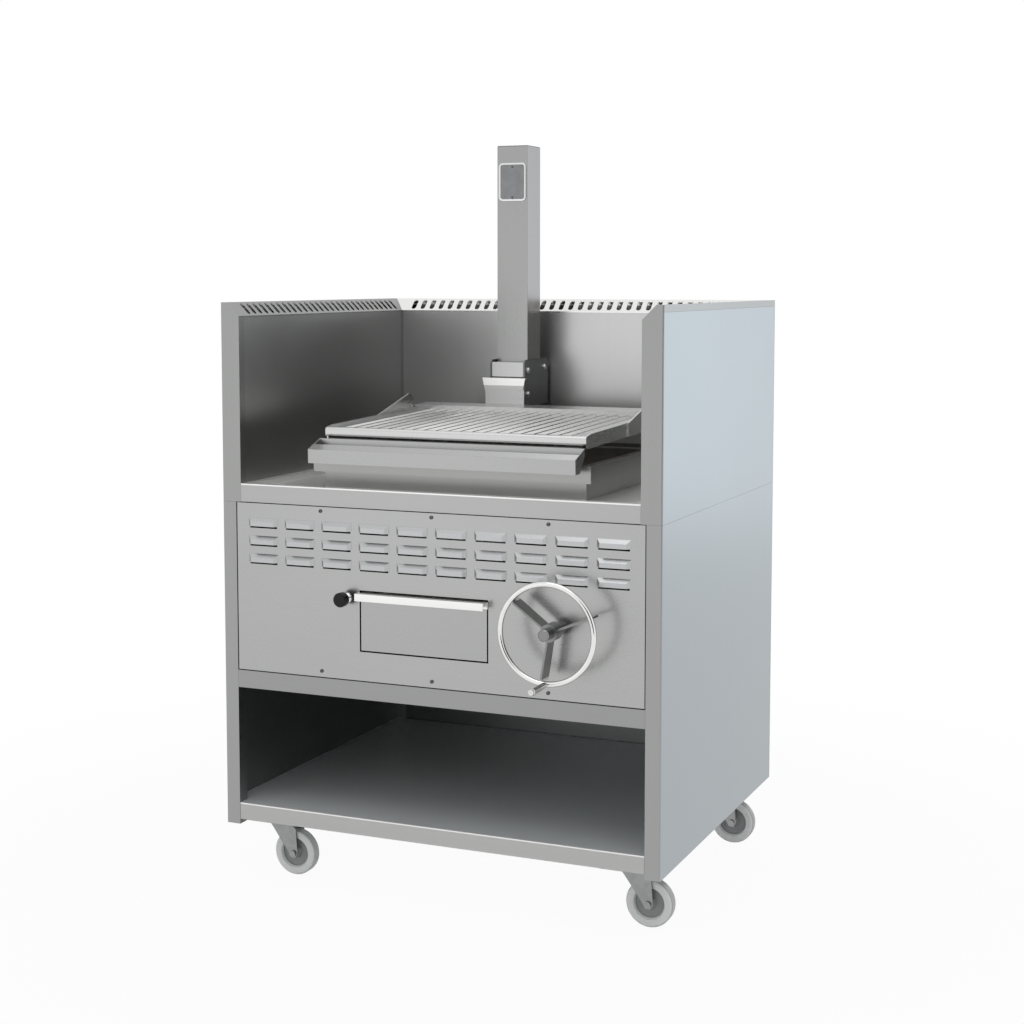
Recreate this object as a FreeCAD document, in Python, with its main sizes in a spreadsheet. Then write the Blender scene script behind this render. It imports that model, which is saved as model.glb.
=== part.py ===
"""Charcoal grill on castors with a hand-wound grill lift, as a parametric document (millimetres).

The cabinet frame has x = 0 on the centre plane, y = 0 on the cabinet's front face and z = 0 on the
cabinet's bottom edge. Every sub-part's Placement then moves it to the part frame, whose origin is on
the floor in the middle of the whole part's box.
"""
import FreeCAD, Part
import math
import os
import re

import Sketcher
from FreeCAD import Placement, Rotation, Vector

document = FreeCAD.newDocument("charcoal_grill")

SIZES = [
    # cabinet
    ("cabinet_width", 1000), ("cabinet_depth", 820), ("sheet", 2), ("seat_gap", 0.3), ("overrun", 5),
    ("castor_height", 128), ("base_height", 711), ("surround_height", 429),
    ("post_width", 33), ("post_return", 30), ("rear_return", 30), ("fold_radius", 3),
    ("wall_thickness", 45), ("wall_lip", 18), ("hem", 12),
    # shelf, ceiling of the storage bay and deck
    ("shelf_lip_bottom", 11), ("shelf_top", 48), ("bay_lip", 38), ("bay_drop", 368),
    ("tray_lip", 22), ("panel_tab", 25), ("deck_lip_rise", 1), ("deck_rise", 40),
    ("deck_rim", 20), ("deck_recess", 12), ("rail_width", 110), ("rail_sheet", 3),
    # control panel
    ("panel_step", 0.7), ("panel_gap", 2.2), ("panel_return", 12), ("louvre_columns", 10), ("louvre_rows", 3),
    ("louvre_pitch_x", 88.8), ("louvre_pitch_z", 39), ("louvre_rise", 240), ("louvre_length", 72),
    ("louvre_height", 18), ("louvre_depth", 8), ("louvre_end_slope", 8), ("louvre_top_slope", 8),
    ("louvre_slit", 4.5),
    # vent caps
    ("cap_flat", 16), ("cap_flange", 14), ("slot_width", 12), ("slot_run", 22), ("slot_pitch", 25),
    ("side_slots", 29), ("back_slots", 35), ("first_slot", 45),
    # screws
    ("screw_shank_radius", 2), ("screw_head_radius", 4), ("screw_head_height", 2.4),
    ("screw_length", 9), ("screw_hole_gap", 0.3), ("panel_screw_spread", 260),
    ("panel_screw_drop", 11), ("panel_screw_rise", 15), ("rear_screw_inset", 15),
    # fire tray
    ("tray_width", 606), ("rim_ledge", 20), ("tray_room", 65), ("tray_rise", 25),
    ("rim_width", 640), ("rim_lead", 20), ("rim_room", 50), ("rim_height", 36),
    ("ash_hole_width", 440), ("ash_hole_lead", 65), ("ash_hole_margin", 75),
    ("brick_thickness", 30), ("brick_drop", 8), ("brick_joint", 0.6), ("bricks_each_side", 3),
    ("grate_thickness", 10), ("grate_gap", 1), ("grate_slot", 12), ("grate_slots", 19),
    ("grate_pitch", 26), ("grate_edge", 40),
    # ash chute and drawer
    ("drawer_centre", -20), ("drawer_front_width", 290), ("drawer_rise", 67),
    ("drawer_front_height", 125), ("drawer_gap", 3), ("drawer_box_width", 272), ("drawer_box_rise", 4),
    ("drawer_box_height", 86), ("drawer_box_back", 450), ("neck_width", 240), ("neck_front", 60),
    ("neck_back", 420), ("neck_clearance", 20), ("neck_height", 60), ("handle_reach", 25),
    ("handle_drop", 16), ("handle_overlap", 2.5), ("runner_back", 470), ("runner_front", 10),
    ("runner_ledge", 18), ("runner_foot", 15), ("runner_height", 36),
    # air damper
    ("knob_x", -198), ("knob_rise", 177), ("knob_radius", 15.5), ("knob_reach", 35), ("knob_thick", 20),
    ("knob_neck_radius", 7), ("damper_rod_radius", 4), ("rod_hole_gap", 1), ("port_width", 20),
    ("port_rise", 15), ("port_height", 30), ("first_port", 100), ("ports", 7),
    ("damper_rise", 10), ("damper_height", 40), ("damper_front", 66), ("damper_back", 396),
    ("damper_arm", 3), ("damper_arm_edge", 8), ("guide_front", 75), ("guide_lip", 7),
    # handwheel and lift shaft
    ("shaft_x", 285), ("shaft_rise", 150), ("shaft_radius", 10), ("shaft_front", -80),
    ("shaft_tail", 24), ("running_gap", 0.08), ("ring_radius", 99.5), ("ring_tube", 5.5),
    ("ring_y", -70), ("spoke_thickness", 4), ("spoke_back", -29),
    ("spokes", 3), ("spoke_phase", 68), ("hub_radius", 18), ("hub_front", -62), ("hub_back", -26),
    ("hub_nose_radius", 12), ("hub_nose_front", -88), ("hub_nose_wall", 6), ("spindle_radius", 3.5),
    ("spindle_front", -150), ("spindle_head", 3), ("spindle_head_radius", 6), ("grip_radius", 7),
    ("grip_waist_radius", 5.5), ("grip_back", -80), ("bearing_radius", 20), ("bearing_length", 27),
    ("bearing_flange", 32), ("bearing_flange_thickness", 4), ("pedestal_width", 70),
    ("pedestal_thickness", 8), ("pedestal_foot", 40), ("pedestal_reach", 68), ("pedestal_rise", 25),
    ("drum_radius", 32), ("drum_flange_radius", 42), ("drum_flange", 3), ("drum_reach", 30),
    ("shaft_hole_gap", 1),
    # cable and pulleys
    ("cable_radius", 1.5), ("cable_gap", 0.3), ("pulley_radius", 18),
    ("pulley_flange_radius", 22), ("pulley_width", 12), ("groove_top", 4), ("pulley_hub_radius", 8),
    ("pin_radius", 5), ("top_pulley_drop", 84), ("winding_turns", 4), ("winding_pitch", 4.2),
    ("winding_clearance", 4.2),
    # mast and carriage
    ("mast_x", -97), ("mast_side", 78), ("mast_wall", 3), ("mast_setback", 170), ("mast_rise", 363),
    ("mast_cap", 2), ("mast_foot", 140), ("mast_foot_thickness", 6), ("cable_window", 16),
    ("lug_slot", 12), ("lug_thickness", 6), ("lug_rise", 3), ("lug_height", 20), ("lug_nose", 6),
    ("slot_margin", 18), ("lift_travel", 360), ("plate_gap", 2), ("plate_thickness", 4),
    ("plate_rise", 18), ("plate_height", 110), ("plate_reach", 36), ("plate_lead", 32),
    ("plate_corner", 7), ("hanger_lead", 12), ("hanger_rise", 37), ("hanger_height", 27),
    ("bar_thickness", 8), ("cross_rise", 10), ("roller_radius", 12), ("roller_width", 60),
    ("axle_radius", 4), ("axle_head_radius", 7), ("axle_head", 4), ("upper_roller_rise", 21),
    ("lower_roller_rise", 28), ("rear_roller_drop", 21), ("cover_lead", 30), ("cover_rise", 5),
    ("cover_height", 35), ("cover_gap", 3),
    # grill
    ("grill_y", 100), ("grill_rise", 58), ("grill_pitch", 1.5), ("grill_width", 604), ("nose_depth", 14),
    ("nose_height", 20), ("nose_round", 6), ("back_flange_depth", 67.7), ("wing_thickness", 3),
    ("wing_bottom", 26.5), ("wing_peak", 38), ("wing_tail", 30), ("wing_round", 16),
    ("wing_front_height", 3), ("wing_run", 155), ("side_flange", 35), ("back_rail_height", 10),
    ("bars", 19), ("bar_pitch", 28), ("bar_width", 24), ("bar_depth", 13.5),
    ("bar_sheet", 1.5), ("ledge", 10), ("ledge_gap", 0.5), ("tab_width", 32), ("tab_back", 45),
    # hook on the grill
    ("hook_sheet", 3), ("hook_width", 100), ("hook_top_width", 110), ("hook_apron", 27),
    ("hook_leg", 20), ("hook_leg_width", 72), ("hook_rise", 12), ("apron_gap", 3),
    # grease gutter
    ("gutter_width", 612), ("gutter_front", 71), ("gutter_bottom", 70), ("gutter_front_top", 40),
    ("gutter_floor", 26), ("gutter_rise", 36), ("gutter_back", 18),
    ("gutter_back_top", 22), ("gutter_lip_back", 35), ("gutter_lip_width", 584),
    # castors
    ("castor_inset", 86), ("castor_front_y", 95), ("castor_setback", 125), ("castor_plate_x", 100),
    ("castor_plate_y", 84), ("castor_plate_thickness", 3), ("race_radius", 27), ("race_height", 5),
    ("crown_radius", 30), ("crown_height", 6), ("trail", 35), ("wheel_radius", 50),
    ("wheel_width", 26), ("fork_inner", 33), ("fork_sheet", 3), ("wheel_axle_radius", 4),
    ("wheel_nut_radius", 7), ("wheel_nut", 4), ("wheel_hub_radius", 10), ("wheel_web", 10),
    ("tread_depth", 16), ("tread_round", 4), ("fork_eye_radius", 11),
]

PLACES = [
    ("surround_top", "base_height + surround_height"),
    ("bay_ceiling_top", "base_height - bay_drop"),
    ("bay_lip_bottom", "bay_ceiling_top - bay_lip"),
    ("deck_lip_bottom", "base_height + deck_lip_rise"),
    ("deck_top", "base_height + deck_rise"),
    ("louvre_bottom", "bay_ceiling_top + louvre_rise"),
    ("panel_screw_top", "deck_lip_bottom - panel_screw_drop"),
    ("panel_screw_bottom", "bay_ceiling_top + panel_screw_rise"),
    ("drawer_front_bottom", "bay_ceiling_top + drawer_rise"),
    ("drawer_front_top", "drawer_front_bottom + drawer_front_height"),
    ("drawer_box_bottom", "drawer_front_bottom + drawer_box_rise"),
    ("drawer_box_top", "drawer_box_bottom + drawer_box_height"),
    ("neck_bottom", "drawer_box_top + neck_clearance"),
    ("neck_top", "neck_bottom + neck_height"),
    ("runner_top", "drawer_box_bottom + runner_height"),
    ("knob_z", "bay_ceiling_top + knob_rise"),
    ("port_bottom", "neck_bottom + port_rise"),
    ("damper_bottom", "neck_bottom + damper_rise"),
    ("shaft_z", "bay_ceiling_top + shaft_rise"),
    ("pedestal_top", "shaft_z + pedestal_rise"),
    ("mast_front", "cabinet_depth - mast_setback"),
    ("mast_top", "surround_top + mast_rise"),
    ("top_pulley_z", "mast_top - top_pulley_drop"),
    ("tray_top", "deck_top + tray_rise"),
    ("rim_top", "tray_top + rim_height"),
    ("brick_top", "rim_top - brick_drop"),
    ("grill_z", "rim_top + grill_rise"),
    ("rim_front", "grill_y - rim_lead"),
    ("tray_front", "rim_front + rim_ledge"),
    ("tray_back", "mast_front - tray_room"),
    ("rim_back", "mast_front - rim_room"),
    ("ash_hole_front", "tray_front + ash_hole_lead"),
    ("ash_hole_back", "tray_back - ash_hole_margin"),
    ("plate_bottom", "grill_z + plate_rise"),
    ("plate_top", "plate_bottom + plate_height"),
    ("nose_bottom", "plate_bottom + hanger_rise"),
    ("nose_top", "nose_bottom + hanger_height"),
    ("cross_top", "nose_top + cross_rise"),
    ("roller_upper_z", "nose_top + upper_roller_rise"),
    ("roller_lower_z", "plate_bottom + lower_roller_rise"),
    ("roller_rear_z", "plate_top - rear_roller_drop"),
    ("cover_bottom", "nose_top + cover_rise"),
    ("cover_top", "cover_bottom + cover_height"),
    ("lug_top", "nose_top + lug_rise"),
    ("hook_bottom", "grill_z + hook_rise"),
    ("plate_back", "mast_front + mast_side + plate_reach"),
    ("plate_front", "mast_front - plate_lead"),
    ("nose_front", "plate_front - hanger_lead"),
    ("cover_front", "mast_front - cover_lead"),
    ("cover_back", "mast_front - cover_gap"),
    ("castor_back_y", "cabinet_depth - castor_setback"),
    ("pedestal_front", "mast_front + pedestal_reach"),
    ("shaft_back", "pedestal_front + shaft_tail"),
    ("drum_front", "mast_front + drum_reach"),
    ("cable_y", "mast_front + mast_side/2"),
    ("hook_plate_back", "nose_front - seat_gap"),
    ("hook_plate_front", "hook_plate_back - hook_sheet"),
    ("grill_depth", "hook_plate_front - back_flange_depth - grill_y"),
    ("wing_peak_y", "grill_depth - wing_tail"),
    ("wing_rise_y", "wing_peak_y - wing_run"),
    ("half_width", "cabinet_width/2"),
    ("post_inner", "half_width - post_width"),
    ("wall_inner", "half_width - wall_thickness"),
    ("rear_sheet_front", "cabinet_depth - sheet"),
    ("side_back", "rear_sheet_front - seat_gap"),
    ("surround_bottom", "base_height + seat_gap"),
    ("tray_half_front", "post_inner - seat_gap"),
    ("tray_half_back", "half_width - sheet - seat_gap"),
    ("tray_back_edge", "side_back - sheet - seat_gap"),
    ("cap_slope", "wall_thickness - cap_flat"),
    ("slope_drop", "sheet*sqrt(2)"),
    ("slope_corner", "sheet*(sqrt(2) - 1)"),
    ("skin_top", "surround_top - cap_flange - seat_gap"),
    ("slope_end", "surround_top - cap_slope"),
    ("lining_top", "slope_end - slope_drop - seat_gap"),
    ("lining_back", "cabinet_depth - wall_thickness"),
    ("panel_back", "panel_step + sheet"),
    ("tab_front", "panel_back + seat_gap"),
    ("panel_half", "post_inner - panel_gap"),
    ("tab_half", "panel_half - sheet - seat_gap"),
    ("panel_bottom", "bay_ceiling_top + panel_gap"),
    ("panel_top", "deck_lip_bottom - panel_gap"),
    ("recess_floor", "deck_top - deck_recess"),
    ("recess_half", "wall_inner - deck_rim"),
    ("recess_back", "lining_back - deck_rim"),
    ("rear_tip", "cabinet_depth + screw_head_height"),
    ("tray_half", "tray_width/2"),
    ("rim_half", "rim_width/2"),
    ("tray_floor_top", "recess_floor + sheet"),
    ("ash_half", "ash_hole_width/2"),
    ("brick_half", "tray_half - sheet - seat_gap"),
    ("brick_front", "tray_front + sheet + seat_gap"),
    ("brick_back", "tray_back - sheet - seat_gap"),
    ("grate_half", "brick_half - brick_thickness - grate_gap"),
    ("grate_front", "brick_front + brick_thickness + grate_gap"),
    ("grate_back", "brick_back - brick_thickness - grate_gap"),
    ("chute_top", "recess_floor - sheet - seat_gap"),
    ("neck_left", "drawer_centre - neck_width/2"),
    ("neck_right", "drawer_centre + neck_width/2"),
    ("box_half", "drawer_box_width/2"),
    ("front_half", "drawer_front_width/2"),
    ("damper_side", "neck_left - seat_gap"),
    ("guide_side", "damper_side - sheet - seat_gap"),
    ("mast_centre_y", "mast_front + mast_side/2"),
    ("mast_back", "mast_front + mast_side"),
    ("mast_inner", "mast_side/2 - mast_wall"),
    ("cable_run_z", "shaft_z + drum_radius"),
    ("foot_pulley_z", "cable_run_z + pulley_radius"),
    ("fall_x", "mast_x + pulley_radius"),
    ("rise_x", "mast_x - pulley_radius"),
    ("plate_inner", "mast_side/2 + plate_gap"),
    ("plate_outer", "plate_inner + plate_thickness"),
    ("roller_front_y", "mast_front - roller_radius - seat_gap"),
    ("roller_rear_y", "mast_back + roller_radius + seat_gap"),
    ("drum_back", "cable_y + winding_clearance + winding_turns*winding_pitch + cable_radius"
     " + cable_gap"),
    ("grill_half", "grill_width/2"),
    ("wing_inner", "grill_half - wing_thickness"),
    ("hook_leg_front", "nose_front + bar_thickness + seat_gap"),
    ("back_flange_end", "(hook_plate_front - seat_gap - grill_y + back_rail_height*sin(grill_pitch))"
     "/cos(grill_pitch)"),
    ("hook_under", "nose_top + seat_gap"),
    ("hook_top", "hook_under + hook_sheet"),
    ("gutter_half", "gutter_width/2"),
    ("castor_x", "half_width - castor_inset"),
    ("wheel_z", "wheel_radius - castor_height"),
    ("crown_top", "-castor_plate_thickness - race_height - seat_gap"),
    ("crown_bottom", "crown_top - crown_height"),
    ("depth_middle", "(rear_tip + spindle_front)/2"),
]

sizes = document.addObject("Spreadsheet::Sheet", "sizes")
places = document.addObject("Spreadsheet::Sheet", "places")
home = {}


def in_sheets(formula):
    """Write each size's or place's name in a formula with the sheet that holds it."""
    return re.sub(r"[a-z][a-z0-9_]*", lambda word: home.get(word[0], word[0]), str(formula))


def fill(sheet, rows, text):
    for row, (alias, content) in enumerate(rows, start=1):
        sheet.set(f"A{row}", alias)
        sheet.set(f"B{row}", text(content))
        sheet.setAlias(f"B{row}", alias)
        home[alias] = f"{sheet.Name}.{alias}"


fill(sizes, SIZES, str)
document.recompute()
fill(places, PLACES, lambda formula: "=" + in_sheets(formula).replace("places.", ""))
document.recompute()


def number(formula):
    return float(places.evalExpression(in_sheets(formula)))


def bind(target, formulas):
    for attribute, formula in formulas.items():
        target.setExpression(attribute, in_sheets(formula))


def place(target, x, y, z):
    bind(target, {".Placement.Base.x": x, ".Placement.Base.y": y, ".Placement.Base.z": z})


pieces = []


def piece(target, label, x="0", y="0", z="0"):
    """Name a finished sub-part and move it from the cabinet frame to the part frame."""
    target.Label = label
    place(target, x, f"{y} - depth_middle", f"{z} + castor_height")
    pieces.append(target)
    return target


def block(name, x, y, z):
    """A box between a low and a high formula on each axis."""
    box = document.addObject("Part::Box", name)
    bind(box, {"Length": f"({x[1]}) - ({x[0]})", "Width": f"({y[1]}) - ({y[0]})",
               "Height": f"({z[1]}) - ({z[0]})"})
    place(box, x[0], y[0], z[0])
    return box


AXIS_TURN = {"x": Rotation(Vector(0, 1, 0), 90), "y": Rotation(Vector(1, 0, 0), -90),
             "z": Rotation()}


def rod(name, axis, radius, low, high, across):
    """A cylinder along an axis from low to high; across gives its two other coordinates."""
    cylinder = document.addObject("Part::Cylinder", name)
    cylinder.Placement = Placement(Vector(), AXIS_TURN[axis])
    bind(cylinder, {"Radius": radius, "Height": f"({high}) - ({low})"})
    spots = {"x": (low, *across), "y": (across[0], low, across[1]), "z": (*across, low)}
    place(cylinder, *spots[axis])
    return cylinder


def frustum(name, z, low, high):
    """A four-sided solid between a low and a high rectangle, each (x0, x1, y0, y1)."""
    wedge = document.addObject("Part::Wedge", name)
    wedge.Placement = Placement(Vector(), Rotation(Vector(1, 0, 0), 90))
    bind(wedge, {"Ymin": z[0], "Ymax": z[1],
                 "Xmin": low[0], "Xmax": low[1], "Zmin": f"-({low[3]})", "Zmax": f"-({low[2]})",
                 "X2min": high[0], "X2max": high[1], "Z2min": f"-({high[3]})",
                 "Z2max": f"-({high[2]})"})
    return wedge


def fuse(name, shapes):
    union = document.addObject("Part::MultiFuse", name)
    union.Shapes = shapes
    return union


def gather(name, shapes):
    """Separate solids of one kind in one node."""
    group = document.addObject("Part::Compound", name)
    group.Links = shapes
    return group


def cut(name, base, tools):
    result = document.addObject("Part::Cut", name)
    result.Base = base
    result.Tool = tools[0] if len(tools) == 1 else fuse(name + "_tools", tools)
    return result


def origin_part(body, role):
    return [feature for feature in body.Origin.OriginFeatures if feature.Role == role][0]


def outline_sketch(body, name, plane, points, offset="0"):
    """A closed outline of straight lines whose corners are bound to formulas."""
    sketch = body.newObject("Sketcher::SketchObject", name)
    sketch.AttachmentSupport = [(origin_part(body, plane + "_Plane"), "")]
    sketch.MapMode = "FlatFace"
    bind(sketch, {".AttachmentOffset.Base.z": offset})
    corners = [Vector(number(across), number(up), 0) for across, up in points]
    for index, corner in enumerate(corners):
        sketch.addGeometry(Part.LineSegment(corner, corners[(index + 1) % len(corners)]), False)
    for index in range(len(corners)):
        following = (index + 1) % len(corners)
        sketch.addConstraint(Sketcher.Constraint("Coincident", index, 2, following, 1))
    for index, (formulas, corner) in enumerate(zip(points, corners)):
        for kind, formula, value in zip(("DistanceX", "DistanceY"), formulas, corner):
            row = sketch.addConstraint(Sketcher.Constraint(kind, -1, 1, index, 1, value))
            bind(sketch, {f"Constraints[{row}]": formula})
    return sketch


def extrusion(name, plane, points, low, high):
    """A body padded from an outline, between two formulas along the plane's normal."""
    body = document.addObject("PartDesign::Body", name)
    offset = f"-({high})" if plane == "XZ" else low
    pad = body.newObject("PartDesign::Pad", name + "_pad")
    pad.Profile = outline_sketch(body, name + "_outline", plane, points, offset)
    bind(pad, {"Length": f"({high}) - ({low})"})
    body.Tip = pad
    return body


def revolve(name, points):
    """A body turned about the y axis from an outline of (y, radius) corners."""
    body = document.addObject("PartDesign::Body", name)
    turned = body.newObject("PartDesign::Revolution", name + "_revolution")
    turned.Profile = outline_sketch(body, name + "_outline", "YZ", points)
    turned.ReferenceAxis = (origin_part(body, "Y_Axis"), [""])
    turned.Angle = 360
    body.Tip = turned
    return body


def round_edges(body, radius, chosen):
    """Fillet the edges of a body's tip that the chooser picks."""
    document.recompute()
    base = body.Tip
    names = [f"Edge{index}" for index, edge in enumerate(base.Shape.Edges, start=1) if chosen(edge)]
    fillet = body.newObject("PartDesign::Fillet", body.Name + "_fillet")
    fillet.Base = (base, names)
    bind(fillet, {"Radius": radius})
    body.Tip = fillet
    return body


def near(value, formula):
    return abs(value - number(formula)) < number("seat_gap/3")


def round_front_fold(body):
    """Round the upright outer fold between a side sheet and its front face."""
    round_edges(body, "fold_radius", lambda edge: near(edge.BoundBox.YMax, "0")
                and edge.BoundBox.ZLength > number("post_width")
                and near(abs(edge.BoundBox.XMin), "half_width"))


def screw_holes(name, spots, low, high):
    return [rod(f"{name}_{index}", "y", "screw_shank_radius + screw_hole_gap", low, high, spot)
            for index, spot in enumerate(spots)]


def panel_spots(heights):
    """Screws of the control panel: three in each row."""
    return [(f"{share}*panel_screw_spread", height) for height in heights for share in (-1, 0, 1)]


REAR_SCREW_HEIGHTS = ["shelf_top + rear_return", "bay_lip_bottom - rear_return",
                      "panel_bottom + hem", "base_height - rear_screw_inset",
                      "base_height + rear_screw_inset", "skin_top - 4*rear_screw_inset"]


def rear_spots(heights, sides=(-1, 1)):
    """Screws of the rear sheets: one on each side's return at each height."""
    return [(f"{side}*(half_width - rear_screw_inset)", height) for height in heights for side in sides]


def side_panel(side, label):
    """Folded side sheet of the cabinet with its front post and its rear return."""
    name = "side_left" if side < 0 else "side_right"
    body = extrusion(name, "XY", [
        (f"{side}*half_width", "0"), (f"{side}*post_inner", "0"),
        (f"{side}*post_inner", "post_return"), (f"{side}*(post_inner + sheet)", "post_return"),
        (f"{side}*(post_inner + sheet)", "sheet"), (f"{side}*(half_width - sheet)", "sheet"),
        (f"{side}*(half_width - sheet)", "side_back - sheet"),
        (f"{side}*(half_width - rear_return)", "side_back - sheet"),
        (f"{side}*(half_width - rear_return)", "side_back"), (f"{side}*half_width", "side_back"),
    ], "0", "base_height")
    round_front_fold(body)
    holes = screw_holes(name + "_hole", rear_spots(REAR_SCREW_HEIGHTS[:4], [side]),
                        "side_back - sheet - overrun", "side_back + overrun")
    piece(cut(name + "_cut", body, holes), label)


def tray_sheet(name, top):
    """Level sheet between the side panels, notched round the front posts."""
    return extrusion(name, "XY", [
        ("-tray_half_front", "0"), ("tray_half_front", "0"),
        ("tray_half_front", "post_return + seat_gap"), ("tray_half_back", "post_return + seat_gap"),
        ("tray_half_back", "tray_back_edge"), ("-tray_half_back", "tray_back_edge"),
        ("-tray_half_back", "post_return + seat_gap"), ("-tray_half_front", "post_return + seat_gap"),
    ], f"{top} - sheet", top)


def tray_lips(name, top, front_bottom, half="tray_half_front"):
    """Front lip with its hem and the turned-down side and rear edges of a level sheet."""
    rear = ("post_return + seat_gap", "tray_back_edge")
    drop = (f"{top} - tray_lip", top)
    return [
        block(name + "_front_lip", (f"-{half}", half), ("0", "sheet"), (front_bottom, top)),
        block(name + "_hem", (f"-{half}", half), ("0", "hem"), (front_bottom, f"{front_bottom} + sheet")),
        block(name + "_left_lip", ("-tray_half_back", "sheet - tray_half_back"), rear, drop),
        block(name + "_right_lip", ("tray_half_back - sheet", "tray_half_back"), rear, drop),
        block(name + "_rear_lip", ("-tray_half_back", "tray_half_back"),
              ("tray_back_edge - sheet", "tray_back_edge"), drop),
    ]


def bottom_shelf():
    shelf = fuse("shelf", [tray_sheet("shelf_sheet", "shelf_top")]
                 + tray_lips("shelf", "shelf_top", "shelf_lip_bottom"))
    piece(shelf, "bottom_shelf")


def castor_rails():
    """Two channels under the shelf that the castors are bolted to."""
    rails = []
    for side, name in ((-1, "left"), (1, "right")):
        inner = f"{side}*(castor_x - rail_width/2)"
        outer = f"{side}*(castor_x + rail_width/2)"
        rails.append(extrusion(f"rail_{name}", "XZ", [
            (outer, "0"), (inner, "0"), (inner, "shelf_top - sheet"),
            (f"{inner} + {side}*rail_sheet", "shelf_top - sheet"),
            (f"{inner} + {side}*rail_sheet", "rail_sheet"),
            (f"{outer} - {side}*rail_sheet", "rail_sheet"),
            (f"{outer} - {side}*rail_sheet", "shelf_top - sheet"), (outer, "shelf_top - sheet"),
        ], "post_return + seat_gap", "tray_back_edge - sheet - seat_gap"))
    piece(gather("rails", rails), "castor_rails")


def bay_ceiling():
    """Sheet over the storage bay: its front lip is the lower beam, its tab holds the panel."""
    tab = block("ceiling_tab", ("-tab_half", "tab_half"), ("tab_front", "tab_front + sheet"),
                ("bay_ceiling_top - sheet", "bay_ceiling_top + panel_tab"))
    body = fuse("ceiling_sheets", [tray_sheet("ceiling_sheet", "bay_ceiling_top"), tab]
                + tray_lips("ceiling", "bay_ceiling_top", "bay_lip_bottom"))
    holes = screw_holes("ceiling_hole", panel_spots(["panel_screw_bottom"]), "0", "hem")
    piece(cut("ceiling", body, holes), "bay_ceiling")


def deck():
    """Work top with a sunk floor, the front beam and the hole that the ash falls through."""
    outline = extrusion("deck_sheet", "XY", [
        ("seat_gap - wall_inner", "0"), ("wall_inner - seat_gap", "0"),
        ("wall_inner - seat_gap", "wall_lip + sheet + seat_gap"),
        ("tray_half_back", "wall_lip + sheet + seat_gap"), ("tray_half_back", "tray_back_edge"),
        ("-tray_half_back", "tray_back_edge"), ("-tray_half_back", "wall_lip + sheet + seat_gap"),
        ("seat_gap - wall_inner", "wall_lip + sheet + seat_gap"),
    ], "deck_top - sheet", "deck_top")
    front = ("seat_gap - wall_inner", "wall_inner - seat_gap")
    tab = block("deck_tab", front, ("tab_front", "tab_front + sheet"),
                ("deck_lip_bottom - panel_tab", "deck_lip_bottom + sheet"))
    well = block("deck_well", ("-recess_half - sheet", "recess_half + sheet"),
                 ("deck_rim - sheet", "recess_back + sheet"), ("recess_floor - sheet", "deck_top"))
    sides = [block(f"deck_side_{name}", sorted_pair(side, "tray_half_back - sheet", "tray_half_back"),
                   ("post_return + seat_gap", "tray_back_edge"),
                   ("base_height - tray_lip", "deck_top")) for side, name in ((-1, "left"), (1, "right"))]
    lip = block("deck_lip", front, ("0", "sheet"), ("deck_lip_bottom", "deck_top"))
    hem = block("deck_hem", front, ("0", "tab_front + sheet"),
                ("deck_lip_bottom", "deck_lip_bottom + sheet"))
    body = fuse("deck_sheets", [outline, tab, well, lip, hem] + sides)
    hollow = block("deck_hollow", ("-recess_half", "recess_half"), ("deck_rim", "recess_back"),
                   ("recess_floor", "deck_top + overrun"))
    ash = block("deck_ash_hole", ("-ash_half", "ash_half"), ("ash_hole_front", "ash_hole_back"),
                ("recess_floor - overrun", "recess_floor + overrun"))
    mast = block("deck_mast_hole",
                 ("mast_x - mast_side/2 - seat_gap", "mast_x + mast_side/2 + seat_gap"),
                 ("mast_front - seat_gap", "mast_back + seat_gap"),
                 ("recess_floor - overrun", "recess_floor + overrun"))
    holes = screw_holes("deck_hole", panel_spots(["panel_screw_top"]), "0", "hem")
    piece(cut("deck_body", body, [hollow, ash, mast] + holes), "deck")


def sorted_pair(side, inner, outer):
    """The low and the high x of a piece on the left (-1) or the right (1)."""
    return (f"-({outer})", f"-({inner})") if side < 0 else (inner, outer)


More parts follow.
